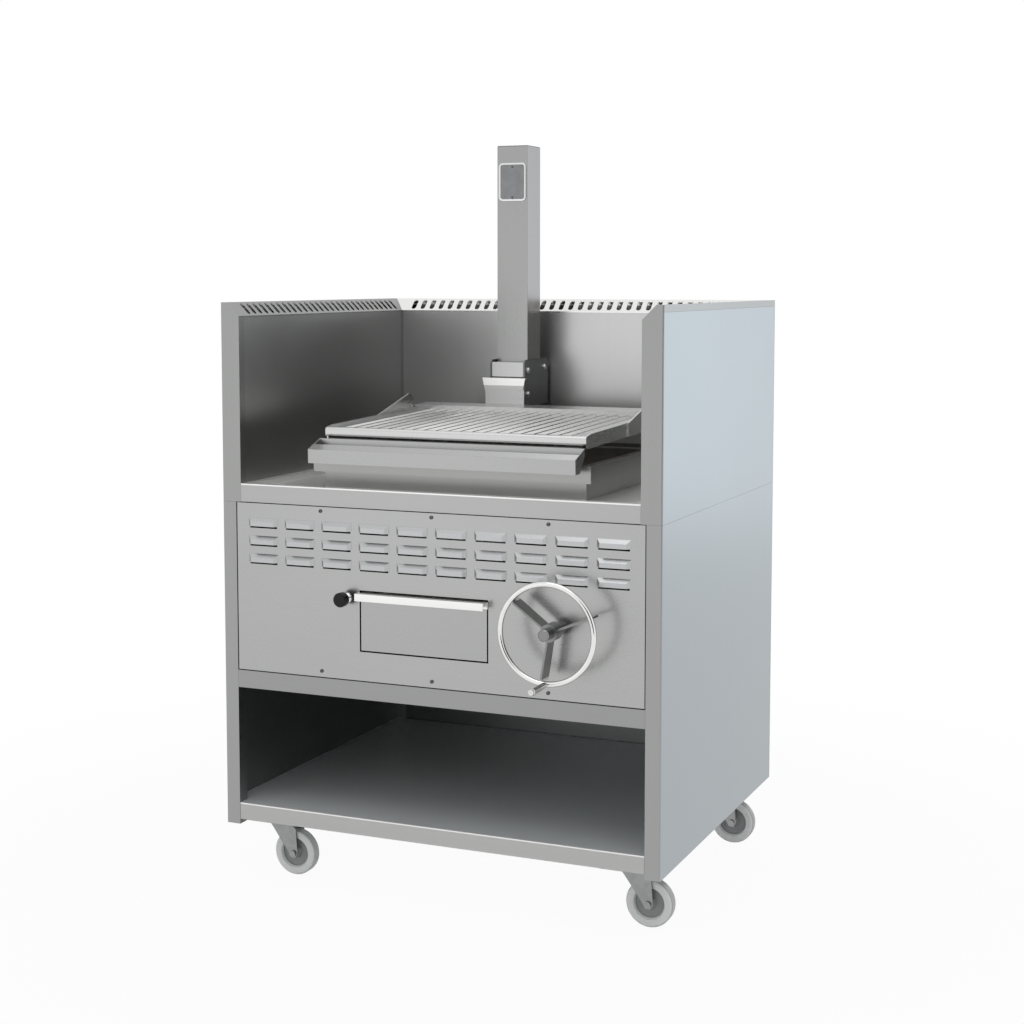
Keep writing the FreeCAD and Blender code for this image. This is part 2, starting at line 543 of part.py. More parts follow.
def louvred_panel():
    """Control panel with rows of pressed louvres, each open at its lower edge."""
    body = extrusion("panel", "XZ", [
        ("-panel_half", "panel_bottom"), ("panel_half", "panel_bottom"),
        ("panel_half", "panel_top"), ("-panel_half", "panel_top"),
    ], "panel_step", "panel_back")
    left = "-(louvre_columns - 1)/2*louvre_pitch_x - louvre_length/2"
    hood = body.newObject("PartDesign::AdditiveWedge", "hood")
    bind(hood, {"Xmin": "0", "Xmax": "louvre_length", "X2min": "0", "X2max": "louvre_length",
                "Ymin": "0", "Ymax": "louvre_depth", "Zmin": "0", "Z2min": "0",
                "Zmax": "louvre_height", "Z2max": "louvre_height"})
    bind(hood, {"X2min": "0", "X2max": "louvre_length", "Xmin": "louvre_end_slope",
                "Xmax": "louvre_length - louvre_end_slope", "Zmax": "louvre_height - louvre_top_slope"})
    place(hood, left, "panel_step - louvre_depth", "louvre_bottom")
    hollow = body.newObject("PartDesign::SubtractiveWedge", "hood_hollow")
    bind(hollow, {"Ymin": "0", "Ymax": "louvre_depth", "Zmin": "-louvre_slit", "Z2min": "-louvre_slit",
                  "Xmin": "louvre_end_slope", "Xmax": "louvre_length - louvre_end_slope",
                  "X2min": "sheet/2", "X2max": "louvre_length - sheet/2",
                  "Zmax": "louvre_height - louvre_top_slope", "Z2max": "louvre_height - sheet/2"})
    place(hollow, left, "panel_back - louvre_depth", "louvre_bottom")
    grid = body.newObject("PartDesign::LinearPattern", "louvre_grid")
    grid.Originals = [hood, hollow]
    grid.Direction = (origin_part(body, "X_Axis"), [""])
    grid.Direction2 = (origin_part(body, "Z_Axis"), [""])
    bind(grid, {"Length": "(louvre_columns - 1)*louvre_pitch_x", "Occurrences": "louvre_columns",
                "Length2": "(louvre_rows - 1)*louvre_pitch_z", "Occurrences2": "louvre_rows"})
    body.Tip = grid
    returns = [block(f"panel_return_{name}", sorted_pair(side, "panel_half - sheet", "panel_half"),
                     ("panel_step", "panel_step + panel_return"), ("panel_bottom", "panel_top"))
               for side, name in ((-1, "left"), (1, "right"))]
    through = ("panel_step - overrun", "panel_back + overrun")
    drawer = block("panel_drawer_hole",
                   ("drawer_centre - front_half - drawer_gap", "drawer_centre + front_half + drawer_gap"),
                   through, ("drawer_front_bottom - drawer_gap", "drawer_front_top + drawer_gap"))
    shaft = rod("panel_shaft_hole", "y", "shaft_radius + shaft_hole_gap", *through, ("shaft_x", "shaft_z"))
    knob = rod("panel_knob_hole", "y", "damper_rod_radius + rod_hole_gap", *through, ("knob_x", "knob_z"))
    holes = screw_holes("panel_hole", panel_spots(["panel_screw_bottom", "panel_screw_top"]), *through)
    piece(cut("panel_cut", fuse("panel_folded", [body] + returns), [drawer, shaft, knob] + holes),
          "control_panel")


def rear_panels():
    """Outer sheets on the back, screwed to the returns of the side sheets."""
    lower = block("rear_lower_sheet", ("-half_width", "half_width"),
                  ("rear_sheet_front", "cabinet_depth"), ("0", "base_height"))
    through = ("rear_sheet_front - overrun", "cabinet_depth + overrun")
    holes = screw_holes("rear_lower_hole", rear_spots(REAR_SCREW_HEIGHTS[:4]), *through)
    piece(cut("rear_lower", lower, holes), "lower_rear_panel")
    upper = block("rear_upper_sheet", ("-half_width", "half_width"),
                  ("rear_sheet_front", "cabinet_depth"), ("surround_bottom", "skin_top"))
    holes = screw_holes("rear_upper_hole", rear_spots(REAR_SCREW_HEIGHTS[4:]), *through)
    piece(cut("rear_upper", upper, holes), "upper_rear_panel")


def panel_screws():
    """Pan-head screws of the control panel and of the rear panels."""
    screws = []
    groups = [(panel_spots(["panel_screw_bottom", "panel_screw_top"]), "panel_step", 1),
              (rear_spots(REAR_SCREW_HEIGHTS), "cabinet_depth", -1)]
    for group, (spots, seat, inward) in enumerate(groups):
        for index, (x, z) in enumerate(spots):
            name = f"screw_{group}_{index}"
            shank_end = f"{seat} + {inward}*(screw_length - screw_head_height)"
            head_end = f"{seat} - {inward}*screw_head_height"
            shank = sorted((seat, shank_end), key=number)
            head = sorted((seat, head_end), key=number)
            screws.append(fuse(name, [
                rod(name + "_shank", "y", "screw_shank_radius", *shank, (x, z)),
                rod(name + "_head", "y", "screw_head_radius", *head, (x, z)),
            ]))
    piece(gather("screws", screws), "panel_screws")


def surround_skin(side, label):
    """Outer sheet of a side wall with its front face, cut to the slope of the vent cap."""
    name = "skin_left" if side < 0 else "skin_right"
    body = extrusion(name, "XY", [
        (f"{side}*half_width", "0"), (f"{side}*wall_inner", "0"),
        (f"{side}*wall_inner", "wall_lip + sheet"), (f"{side}*(wall_inner + sheet)", "wall_lip + sheet"),
        (f"{side}*(wall_inner + sheet)", "sheet"), (f"{side}*(half_width - sheet)", "sheet"),
        (f"{side}*(half_width - sheet)", "side_back - sheet"),
        (f"{side}*(half_width - rear_return)", "side_back - sheet"),
        (f"{side}*(half_width - rear_return)", "side_back"), (f"{side}*half_width", "side_back"),
    ], "surround_bottom", "surround_top")
    round_front_fold(body)
    slope = extrusion(name + "_slope", "XZ", [
        (f"{side}*(half_width - cap_flat)", "surround_top"),
        (f"{side}*(half_width - cap_flat)", "surround_top + overrun"),
        (f"{side}*(wall_inner - overrun)", "surround_top + overrun"),
        (f"{side}*(wall_inner - overrun)", "slope_end - overrun"),
    ], "-overrun", "cabinet_depth")
    step = block(name + "_step", ("-half_width - overrun", "half_width + overrun"),
                 ("sheet", "cabinet_depth"), ("skin_top", "surround_top + overrun"))
    under_cap = block(name + "_under_cap",
                      sorted_pair(side, "wall_inner - overrun", "half_width - sheet"),
                      ("sheet", "cabinet_depth"), ("lining_top", "surround_top"))
    holes = screw_holes(name + "_hole", rear_spots(REAR_SCREW_HEIGHTS[4:], [side]),
                        "side_back - sheet - overrun", "side_back + overrun")
    piece(cut(name + "_cut", body, [slope, step, under_cap] + holes), label)


def surround_lining():
    """Inner lining of the two side walls and the back wall, bent from one sheet."""
    start = "wall_lip + sheet + seat_gap"
    body = extrusion("lining", "XY", [
        ("-wall_inner", start), ("-wall_inner", "lining_back"), ("wall_inner", "lining_back"),
        ("wall_inner", start), ("wall_inner + sheet", start),
        ("wall_inner + sheet", "lining_back + sheet"), ("-wall_inner - sheet", "lining_back + sheet"),
        ("-wall_inner - sheet", start),
    ], "deck_top", "lining_top")
    piece(body, "surround_lining")


def cap_section(edge, inward):
    """Corners of a vent cap's bent section from its outer edge inward."""
    def at(distance):
        return f"{edge} + {inward}*({distance})"
    return [(at("0"), "surround_top - cap_flange"), (at("0"), "surround_top"),
            (at("cap_flat"), "surround_top"), (at("wall_thickness"), "slope_end"),
            (at("wall_thickness"), "slope_end - slope_drop"),
            (at("cap_flat - slope_corner"), "surround_top - sheet"),
            (at("sheet"), "surround_top - sheet"), (at("sheet"), "surround_top - cap_flange")]


def slot_row(body, corners, axis, count):
    """Pocket one slot through the slope of a vent cap and repeat it along the cap."""
    slot = body.newObject("PartDesign::Pocket", body.Name + "_slot")
    slot.Profile = outline_sketch(body, body.Name + "_slot_outline", "XY", corners, "surround_top")
    bind(slot, {"Length": "cap_slope + overrun"})
    row = body.newObject("PartDesign::LinearPattern", body.Name + "_slots")
    row.Originals = [slot]
    row.Direction = (origin_part(body, axis), [""])
    bind(row, {"Length": f"({count} - 1)*slot_pitch", "Occurrences": count})
    body.Tip = row


def oblong(across, along):
    """A slot with cut corners: (across, along) are its low corner's formulas."""
    nib = "slot_width/4"
    run = [(f"{across}", f"{along} + {nib}"), (f"{across}", f"{along} + slot_width - {nib}"),
           (f"{across} + {nib}", f"{along} + slot_width"),
           (f"{across} + slot_run - {nib}", f"{along} + slot_width"),
           (f"{across} + slot_run", f"{along} + slot_width - {nib}"),
           (f"{across} + slot_run", f"{along} + {nib}"), (f"{across} + slot_run - {nib}", f"{along}"),
           (f"{across} + {nib}", f"{along}")]
    return run


def side_cap(side, label):
    """Vent cap on a side wall, mitred to the back cap."""
    name = "cap_left" if side < 0 else "cap_right"
    body = extrusion(name, "XZ", cap_section(f"{side}*half_width", -side),
                     "sheet + seat_gap", "cabinet_depth")
    slot_middle = "half_width - cap_flat - cap_slope/2"
    low = f"-({slot_middle}) - slot_run/2" if side < 0 else f"{slot_middle} - slot_run/2"
    slot_row(body, oblong(low, "first_slot"), "Y_Axis", "side_slots")
    mitre = extrusion(name + "_mitre", "XY", [
        (f"{side}*(half_width + overrun)", "cabinet_depth - seat_gap + overrun"),
        (f"{side}*(wall_inner - overrun)", "lining_back - seat_gap - overrun"),
        (f"{side}*(wall_inner - overrun)", "cabinet_depth + 2*overrun"),
        (f"{side}*(half_width + overrun)", "cabinet_depth + 2*overrun"),
    ], "slope_end - 2*overrun", "surround_top + overrun")
    piece(cut(name + "_cut", body, [mitre]), label)


def back_cap():
    body = extrusion("cap_back", "YZ", cap_section("cabinet_depth", -1), "-half_width", "half_width")
    first = "-(back_slots - 1)/2*slot_pitch - slot_width/2"
    middle = "cabinet_depth - cap_flat - cap_slope/2 - slot_run/2"
    corners = [(along, across) for across, along in oblong(middle, first)]
    slot_row(body, corners, "X_Axis", "back_slots")
    mitres = [extrusion(f"cap_back_mitre_{name}", "XY", [
        (f"{side}*(half_width + overrun)", "cabinet_depth + overrun"),
        (f"{side}*(wall_inner - overrun)", "lining_back - overrun"),
        (f"{side}*(half_width + overrun)", "lining_back - overrun"),
    ], "slope_end - 2*overrun", "surround_top + overrun") for side, name in ((-1, "left"), (1, "right"))]
    piece(cut("cap_back_cut", body, mitres), "vent_cap_back")


def fire_tray():
    """Lower box that holds the ember grate and the bricks, and the wider rim on top of it."""
    box = block("tray_box", ("-tray_half", "tray_half"), ("tray_front", "tray_back"),
                ("recess_floor", "tray_top"))
    hollow = block("tray_hollow", ("sheet - tray_half", "tray_half - sheet"),
                   ("tray_front + sheet", "tray_back - sheet"), ("tray_floor_top", "tray_top + overrun"))
    ash = block("tray_ash_hole", ("-ash_half", "ash_half"), ("ash_hole_front", "ash_hole_back"),
                ("recess_floor - overrun", "tray_floor_top + overrun"))
    piece(cut("tray", box, [hollow, ash]), "fire_tray")
    rim = block("rim_box", ("-rim_half", "rim_half"), ("rim_front", "rim_back"), ("tray_top", "rim_top"))
    trough = block("rim_hollow", ("sheet - rim_half", "rim_half - sheet"),
                   ("rim_front + sheet", "rim_back - sheet"), ("tray_top + sheet", "rim_top + overrun"))
    mouth = block("rim_mouth", ("sheet - tray_half", "tray_half - sheet"),
                  ("tray_front + sheet", "tray_back - sheet"),
                  ("tray_top - overrun", "tray_top + overrun"))
    piece(cut("rim", rim, [trough, mouth]), "fire_tray_rim")


def firebricks():
    """Refractory bricks that stand along the tray's four walls."""
    bricks = []
    height = ("tray_floor_top", "brick_top")
    count = round(number("bricks_each_side"))
    for side, name in ((-1, "left"), (1, "right")):
        across = sorted_pair(side, "brick_half - brick_thickness", "brick_half")
        for index in range(count):
            along = (f"brick_front + {index}*(brick_back - brick_front)/bricks_each_side",
                     f"brick_front + {index + 1}*(brick_back - brick_front)/bricks_each_side - brick_joint")
            bricks.append(block(f"brick_{name}_{index}", across, along, height))
    inner = "(brick_half - brick_thickness - brick_joint)"
    for name, along in (("front", ("brick_front", "brick_front + brick_thickness")),
                        ("back", ("brick_back - brick_thickness", "brick_back"))):
        for index in range(count):
            across = (f"-{inner} + {index}*2*{inner}/bricks_each_side",
                      f"-{inner} + {index + 1}*2*{inner}/bricks_each_side - brick_joint")
            bricks.append(block(f"brick_{name}_{index}", across, along, height))
    piece(gather("bricks", bricks), "firebricks")


def ember_grate():
    """Cast grate on the tray's floor, with long slots for the ash."""
    body = extrusion("grate", "XY", [
        ("-grate_half", "grate_front"), ("grate_half", "grate_front"),
        ("grate_half", "grate_back"), ("-grate_half", "grate_back"),
    ], "tray_floor_top", "tray_floor_top + grate_thickness")
    first = "-(grate_slots - 1)/2*grate_pitch - grate_slot/2"
    slot = body.newObject("PartDesign::Pocket", "grate_slot")
    slot.Profile = outline_sketch(body, "grate_slot_outline", "XY", [
        (first, "grate_front + grate_edge"), (f"{first} + grate_slot", "grate_front + grate_edge"),
        (f"{first} + grate_slot", "grate_back - grate_edge"), (first, "grate_back - grate_edge"),
    ], "tray_floor_top + grate_thickness")
    bind(slot, {"Length": "grate_thickness + overrun"})
    row = body.newObject("PartDesign::LinearPattern", "grate_slots")
    row.Originals = [slot]
    row.Direction = (origin_part(body, "X_Axis"), [""])
    bind(row, {"Length": "(grate_slots - 1)*grate_pitch", "Occurrences": "grate_slots"})
    body.Tip = row
    piece(body, "ember_grate")


def grown(rectangle, amount):
    x0, x1, y0, y1 = rectangle
    return (f"{x0} - ({amount})", f"{x1} + ({amount})", f"{y0} - ({amount})", f"{y1} + ({amount})")


def ash_chute():
    """Funnel under the deck with an air port row in its neck and the guide of the damper."""
    mouth = ("-ash_half", "ash_half", "ash_hole_front", "ash_hole_back")
    neck = ("neck_left + sheet", "neck_right - sheet", "neck_front + sheet", "neck_back - sheet")
    funnel = frustum("funnel", ("neck_top", "chute_top"), grown(neck, "sheet"), grown(mouth, "sheet"))
    outer_neck = frustum("outer_neck", ("neck_bottom", "neck_top"), grown(neck, "sheet"),
                         grown(neck, "sheet"))
    guides = []
    for name, edge, away in (("upper", "damper_bottom + damper_height + seat_gap", 1),
                             ("lower", "damper_bottom - seat_gap", -1)):
        shelf = sorted((edge, f"{edge} + {away}*sheet"), key=number)
        lip = sorted((f"{edge} + {away}*sheet", f"{edge} - {away}*guide_lip"), key=number)
        along = ("guide_front", "neck_back")
        guides.append(block(f"guide_{name}_shelf", ("guide_side - sheet", "neck_left"), along, shelf))
        guides.append(block(f"guide_{name}_lip", ("guide_side - sheet", "guide_side"), along, lip))
    body = fuse("chute_walls", [funnel, outer_neck] + guides)
    hollow = frustum("funnel_hollow", ("neck_top", "chute_top"), neck, mouth)
    neck_hollow = frustum("neck_hollow", ("neck_bottom", "neck_top"), neck, neck)
    ports = [block(f"port_{index}", ("neck_left - sheet/2", "neck_left + 2*sheet"),
                   (f"first_port + {2 * index}*port_width", f"first_port + {2 * index + 1}*port_width"),
                   ("port_bottom", "port_bottom + port_height"))
             for index in range(round(number("ports")))]
    piece(cut("chute", body, [hollow, neck_hollow] + ports), "ash_chute")


def air_damper():
    """Slotted slide on the neck of the chute with its pull rod, and the knob in front."""
    plate = block("damper_plate", ("damper_side - sheet", "damper_side"),
                  ("damper_front", "damper_back"), ("damper_bottom", "damper_bottom + damper_height"))
    arm = block("damper_arm", ("knob_x - damper_arm_edge", "damper_side - sheet/2"),
                ("damper_front", "damper_front + damper_arm"),
                ("knob_z - damper_arm_edge", "damper_bottom + damper_height"))
    pull = rod("damper_rod", "y", "damper_rod_radius", "-knob_reach/2", "damper_front + damper_arm",
               ("knob_x", "knob_z"))
    windows = [block(f"window_{index}", ("damper_side - 2*sheet", "damper_side + sheet"),
                     (f"first_port + {2 * index + 1}*port_width", f"first_port + {2 * index + 2}*port_width"),
                     ("port_bottom", "port_bottom + port_height"))
               for index in range(round(number("ports")))]
    piece(cut("damper", fuse("damper_body", [plate, arm, pull]), windows), "air_damper_slide")
    bore = "damper_rod_radius + running_gap"
    knob = revolve("knob", [
        ("-knob_reach", "0"), ("-knob_reach", "knob_radius - 2*sheet"),
        ("sheet - knob_reach", "knob_radius - sheet/2"), ("2*sheet - knob_reach", "knob_radius"),
        ("knob_thick - sheet - knob_reach", "knob_radius"), ("knob_thick - knob_reach", "knob_neck_radius"),
        ("sheet/2 - knob_neck_radius", "knob_neck_radius"), ("-sheet", "knob_radius - 2*sheet"),
        ("panel_step - seat_gap", "knob_radius - 2*sheet"), ("panel_step - seat_gap", bore),
        ("-knob_reach/2 - seat_gap", bore), ("-knob_reach/2 - seat_gap", "0"),
    ])
    piece(knob, "air_damper_knob", x="knob_x", z="knob_z")


def ash_drawer():
    centre = "drawer_centre"
    half = "box_half"
    box_front = "panel_back + seat_gap"
    outer = block("drawer_outer", (f"{centre} - {half}", f"{centre} + {half}"),
                  (box_front, "drawer_box_back"), ("drawer_box_bottom", "drawer_box_top"))
    inner = block("drawer_inner", (f"{centre} - {half} + sheet", f"{centre} + {half} - sheet"),
                  (f"{box_front} + sheet", "drawer_box_back - sheet"),
                  ("drawer_box_bottom + sheet", "drawer_box_top + overrun"))
    piece(cut("drawer_box", outer, [inner]), "ash_drawer_box")
    front = block("drawer_front", (f"{centre} - front_half", f"{centre} + front_half"),
                  ("panel_step", "panel_back"), ("drawer_front_bottom", "drawer_front_top"))
    piece(front, "ash_drawer_front", x=f"{centre} - front_half", y="panel_step",
          z="drawer_front_bottom")
    seat = "panel_step - seat_gap"
    lip_bottom = "drawer_front_top - handle_drop"
    handle = extrusion("drawer_handle", "YZ", [
        (seat, "drawer_front_top"), (seat, lip_bottom), (f"{seat} - sheet", lip_bottom),
        (f"{seat} - sheet", "drawer_front_top - sheet"),
        ("sheet - handle_reach", "drawer_front_top - sheet"), ("sheet - handle_reach", lip_bottom),
        ("-handle_reach", lip_bottom), ("-handle_reach", "drawer_front_top"),
    ], f"{centre} - front_half - handle_overlap", f"{centre} + front_half + handle_overlap")
    round_edges(handle, "sheet", lambda edge: near(edge.BoundBox.YMax, "-handle_reach")
                and near(edge.BoundBox.ZMin, "drawer_front_top") and edge.BoundBox.XLength > 0)
    piece(handle, "ash_drawer_handle")


def drawer_runners():
    """Two folded angles that stand on the bay's ceiling and carry the drawer's edges."""
    runners = []
    for side, name in ((-1, "left"), (1, "right")):
        wall = "box_half + seat_gap"
        ledge_top = "drawer_box_bottom - seat_gap"

        def at(distance):
            return f"drawer_centre + {side}*({distance})"
        runners.append(extrusion(f"runner_{name}", "XZ", [
            (at(f"{wall} + runner_foot"), "bay_ceiling_top"),
            (at(f"{wall}"), "bay_ceiling_top"), (at(f"{wall}"), f"{ledge_top} - sheet"),
            (at(f"{wall} - runner_ledge"), f"{ledge_top} - sheet"),
            (at(f"{wall} - runner_ledge"), ledge_top), (at(f"{wall}"), ledge_top),
            (at(f"{wall}"), "runner_top"), (at(f"{wall} + sheet"), "runner_top"),
            (at(f"{wall} + sheet"), "bay_ceiling_top + sheet"),
            (at(f"{wall} + runner_foot"), "bay_ceiling_top + sheet"),
        ], "runner_front", "runner_back"))
    piece(gather("runners", runners), "drawer_runners")


def handwheel():
    """Welded wheel: tube ring, three flat spokes set on edge and a hub with a closed nose."""
    ring = document.addObject("Part::Torus", "ring")
    ring.Placement = Placement(Vector(), AXIS_TURN["y"])
    bind(ring, {"Radius1": "ring_radius", "Radius2": "ring_tube"})
    place(ring, "0", "ring_y", "0")
    spoke = document.addObject("PartDesign::Body", "spoke")
    pad = spoke.newObject("PartDesign::Pad", "spoke_pad")
    pad.Profile = outline_sketch(spoke, "spoke_outline", "YZ", [
        ("hub_front", "hub_nose_radius"), ("hub_back", "hub_nose_radius"),
        ("spoke_back", "ring_radius"), ("ring_y", "ring_radius"),
    ])
    pad.Midplane = True
    bind(pad, {"Length": "spoke_thickness"})
    spoke.Tip = pad
    hub = revolve("wheel_hub", [
        ("hub_nose_front", "0"), ("hub_nose_front", "hub_nose_radius - sheet"),
        ("hub_nose_front + sheet", "hub_nose_radius"), ("hub_front", "hub_nose_radius"),
        ("hub_front", "hub_radius"), ("hub_back", "hub_radius"),
        ("hub_back", "shaft_radius + running_gap"), ("shaft_front - seat_gap", "shaft_radius + running_gap"),
        ("shaft_front - seat_gap", "0"),
    ])
    document.recompute()
    turn = Rotation(Vector(0, 1, 0), 1)
    spokes = []
    for index in range(round(number("spokes"))):
        arm = document.addObject("Part::Feature", f"spoke_{index}")
        arm.Shape = spoke.Shape
        turn.Angle = math.radians(number(f"spoke_phase + {index}*360/spokes"))
        arm.Placement = Placement(Vector(), turn)
        spokes.append(arm)
    bore = rod("wheel_bore", "y", "shaft_radius + running_gap", "shaft_front", "0", ("0", "0"))
    socket = rod("grip_socket", "y", "spindle_radius + running_gap", "ring_y", "ring_y + -2*ring_tube",
                 ("0", "-ring_radius"))
    bind(socket, {"Height": "2*ring_tube"})
    place(socket, "0", "ring_y - 2*ring_tube", "-ring_radius")
    wheel = cut("wheel", fuse("wheel_body", [ring, hub] + spokes), [bore, socket])
    piece(wheel, "handwheel", x="shaft_x", z="shaft_z")


def crank_grip():
    """Turning grip on the ring's lowest point and the spindle that holds it."""
    low = "shaft_z - ring_radius"
    spindle = fuse("spindle", [
        rod("spindle_rod", "y", "spindle_radius", "spindle_front + spindle_head", "ring_y - seat_gap",
            ("0", "0")),
        rod("spindle_cap", "y", "spindle_head_radius", "spindle_front", "spindle_front + spindle_head",
            ("0", "0")),
    ])
    piece(spindle, "grip_spindle", x="shaft_x", z=low)
    front = "spindle_front + spindle_head + seat_gap"
    grip = revolve("grip", [
        (front, "spindle_radius + running_gap"), (front, "grip_radius - sheet/2"),
        (f"{front} + sheet", "grip_radius"), (f"({front} + grip_back)/2", "grip_radius"),
        ("grip_back - sheet", "grip_waist_radius"), ("grip_back", "grip_waist_radius"),
        ("grip_back", "spindle_radius + running_gap"),
    ])
    piece(grip, "crank_grip", x="shaft_x", z=low)


def lift_shaft():
    piece(rod("shaft_rod", "y", "shaft_radius", "shaft_front", "shaft_back", ("0", "0")),
          "lift_shaft", x="shaft_x", y="shaft_front", z="shaft_z")
    bore = "shaft_radius + running_gap"
    flange_back = "panel_back + seat_gap + bearing_flange_thickness"
    front = revolve("front_bearing", [
        ("panel_back + seat_gap", bore), ("panel_back + seat_gap", "bearing_flange"),
        (flange_back, "bearing_flange"), (flange_back, "bearing_radius"),
        ("panel_back + bearing_length", "bearing_radius"), ("panel_back + bearing_length", bore),
    ])
    place(front, "shaft_x", "0", "shaft_z")
    wall = extrusion("pedestal_wall", "XZ", [
        ("shaft_x - pedestal_width/2", "bay_ceiling_top"), ("shaft_x + pedestal_width/2", "bay_ceiling_top"),
        ("shaft_x + bearing_flange/2", "pedestal_top"), ("shaft_x - bearing_flange/2", "pedestal_top"),
    ], "pedestal_front", "pedestal_front + pedestal_thickness")
    foot = block("pedestal_foot", ("shaft_x - pedestal_width/2", "shaft_x + pedestal_width/2"),
                 ("pedestal_front", "pedestal_front + pedestal_foot"),
                 ("bay_ceiling_top", "bay_ceiling_top + pedestal_thickness"))
    boss = rod("pedestal_boss", "y", "bearing_radius", "pedestal_front",
               "shaft_back - sheet", ("shaft_x", "shaft_z"))
    hole = rod("pedestal_bore", "y", bore, "pedestal_front - overrun", "shaft_back + overrun",
               ("shaft_x", "shaft_z"))
    rear = cut("rear_bearing", fuse("rear_bearing_body", [wall, foot, boss]), [hole])
    piece(gather("bearings", [front, rear]), "shaft_bearings")


def cable_drum():
    """Drum on the shaft, and the turns of cable that stay on it."""
    core = "drum_radius - cable_radius - cable_gap"
    drum = revolve("drum", [
        ("drum_front - drum_flange", "shaft_radius + running_gap"),
        ("drum_front - drum_flange", "drum_flange_radius"), ("drum_front", "drum_flange_radius"),
        ("drum_front", core), ("drum_back", core), ("drum_back", "drum_flange_radius"),
        ("drum_back + drum_flange", "drum_flange_radius"),
        ("drum_back + drum_flange", "shaft_radius + running_gap"),
    ])
    piece(drum, "cable_drum", x="shaft_x", z="shaft_z")


def tube(name, edges, start, direction):
    """The cable's round section carried along a path of straight runs and tangent arcs."""
    section = Part.Wire([Part.Circle(start, direction, number("cable_radius")).toShape()])
    shape = Part.Wire(edges).makePipeShell([section], True, False)
    feature = document.addObject("Part::Feature", name)
    feature.Shape = shape
    length = sum(edge.Length for edge in edges)
    full = math.pi * number("cable_radius")**2 * length
    print(f"{name}: {length:.1f} mm long, {shape.Volume / full:.4f} of section times length")
    return feature


def lift_cable():
    """Cable from the drum under the foot pulley, up the mast and over the top pulley."""
    radius = number("pulley_radius")
    middle = number("mast_x")
    foot = number("foot_pulley_z")
    top = number("top_pulley_z")
    plane = number("cable_y")
    run = number("cable_run_z")

    def at(x, z):
        return Vector(x, plane, z)

    def around(centre_z, first, last):
        spots = [at(middle + radius * math.cos(angle), centre_z + radius * math.sin(angle))
                 for angle in (first, (first + last) / 2, last)]
        return Part.Arc(*spots).toShape()

    start = at(number("shaft_x"), run)
    edges = [
        Part.LineSegment(start, at(middle, run)).toShape(),
        around(foot, -math.pi / 2, -math.pi),
        Part.LineSegment(at(middle - radius, foot), at(middle - radius, top)).toShape(),
        around(top, math.pi, math.pi / 2),
        around(top, math.pi / 2, 0),
    ]
    piece(tube("cable_run", edges, start, Vector(-1, 0, 0)), "lift_cable")
    fall = rod("cable_fall", "z", "cable_radius", "lug_top", "top_pulley_z", ("0", "0"))
    piece(fall, "lift_cable_fall", x="fall_x", y="cable_y", z="lug_top")


def tangent_arc(start, corner, end):
    """Arc that leaves its start toward the corner and reaches its end from the corner."""
    weight = (end - start).Length / 2 / (corner - start).Length
    middle = (start + corner * (2 * weight) + end) / (2 + 2 * weight)
    return Part.Arc(start, middle, end).toShape()


def biarc(start, leaving, end, arriving):
    """Two tangent arcs between two points with the given unit directions."""
    chord = end - start
    both = chord.dot(leaving + arriving)
    spread = 2 * (1 - leaving.dot(arriving))
    reach = (math.sqrt(both**2 + spread * chord.dot(chord)) - both) / spread
    corner_a = start + leaving * reach
    corner_b = end - arriving * reach
    joint = (corner_a + corner_b) / 2
    return [tangent_arc(start, corner_a, joint), tangent_arc(joint, corner_b, end)]


def cable_winding():
    """Spare turns on the drum: one helix of quarter-turn biarcs beside the cable's run."""
    radius = number("drum_radius")
    pitch = number("winding_pitch")
    start_y = number("winding_clearance")

    def helix(quarter):
        angle = (quarter + 1) * math.pi / 2
        spot = Vector(radius * math.cos(angle), start_y + pitch * quarter / 4, radius * math.sin(angle))
        direction = Vector(-radius * math.sin(angle), pitch / 2 / math.pi, radius * math.cos(angle))
        return spot, direction.normalize()
    edges = []
    for quarter in range(4 * round(number("winding_turns"))):
        edges.extend(biarc(*helix(quarter), *helix(quarter + 1)))
    winding = tube("winding", edges, *helix(0))
    print(f"winding: least gap between turns {pitch - 2 * number('cable_radius'):.2f} mm")
    piece(winding, "cable_winding", x="shaft_x", y="cable_y", z="shaft_z")


def pulleys():
    """Two grooved pulleys inside the mast and the pins that they turn on."""
    groove = "pulley_radius - cable_radius - cable_gap"
    bottom = "cable_radius + cable_gap/2"
    bore = "pin_radius + running_gap"
    hub = "mast_inner - seat_gap"
    pins = []
    for name, height in (("foot", "foot_pulley_z"), ("top", "top_pulley_z")):
        wheel = revolve(f"{name}_wheel", [
            (f"-({hub})", bore), (f"-({hub})", "pulley_hub_radius"), ("-pulley_width/2", "pulley_hub_radius"),
            ("-pulley_width/2", "pulley_flange_radius"), ("-groove_top", "pulley_flange_radius"),
            (f"-({bottom})", groove), (f"{bottom}", groove), ("groove_top", "pulley_flange_radius"),
            ("pulley_width/2", "pulley_flange_radius"), ("pulley_width/2", "pulley_hub_radius"),
            (f"{hub}", "pulley_hub_radius"), (f"{hub}", bore),
        ])
        piece(wheel, f"{name}_pulley", x="mast_x", y="mast_centre_y", z=height)
        pins.append(rod(f"{name}_pin", "y", "pin_radius", "mast_front", "mast_back", ("mast_x", height)))
    piece(gather("pins", pins), "pulley_pins")


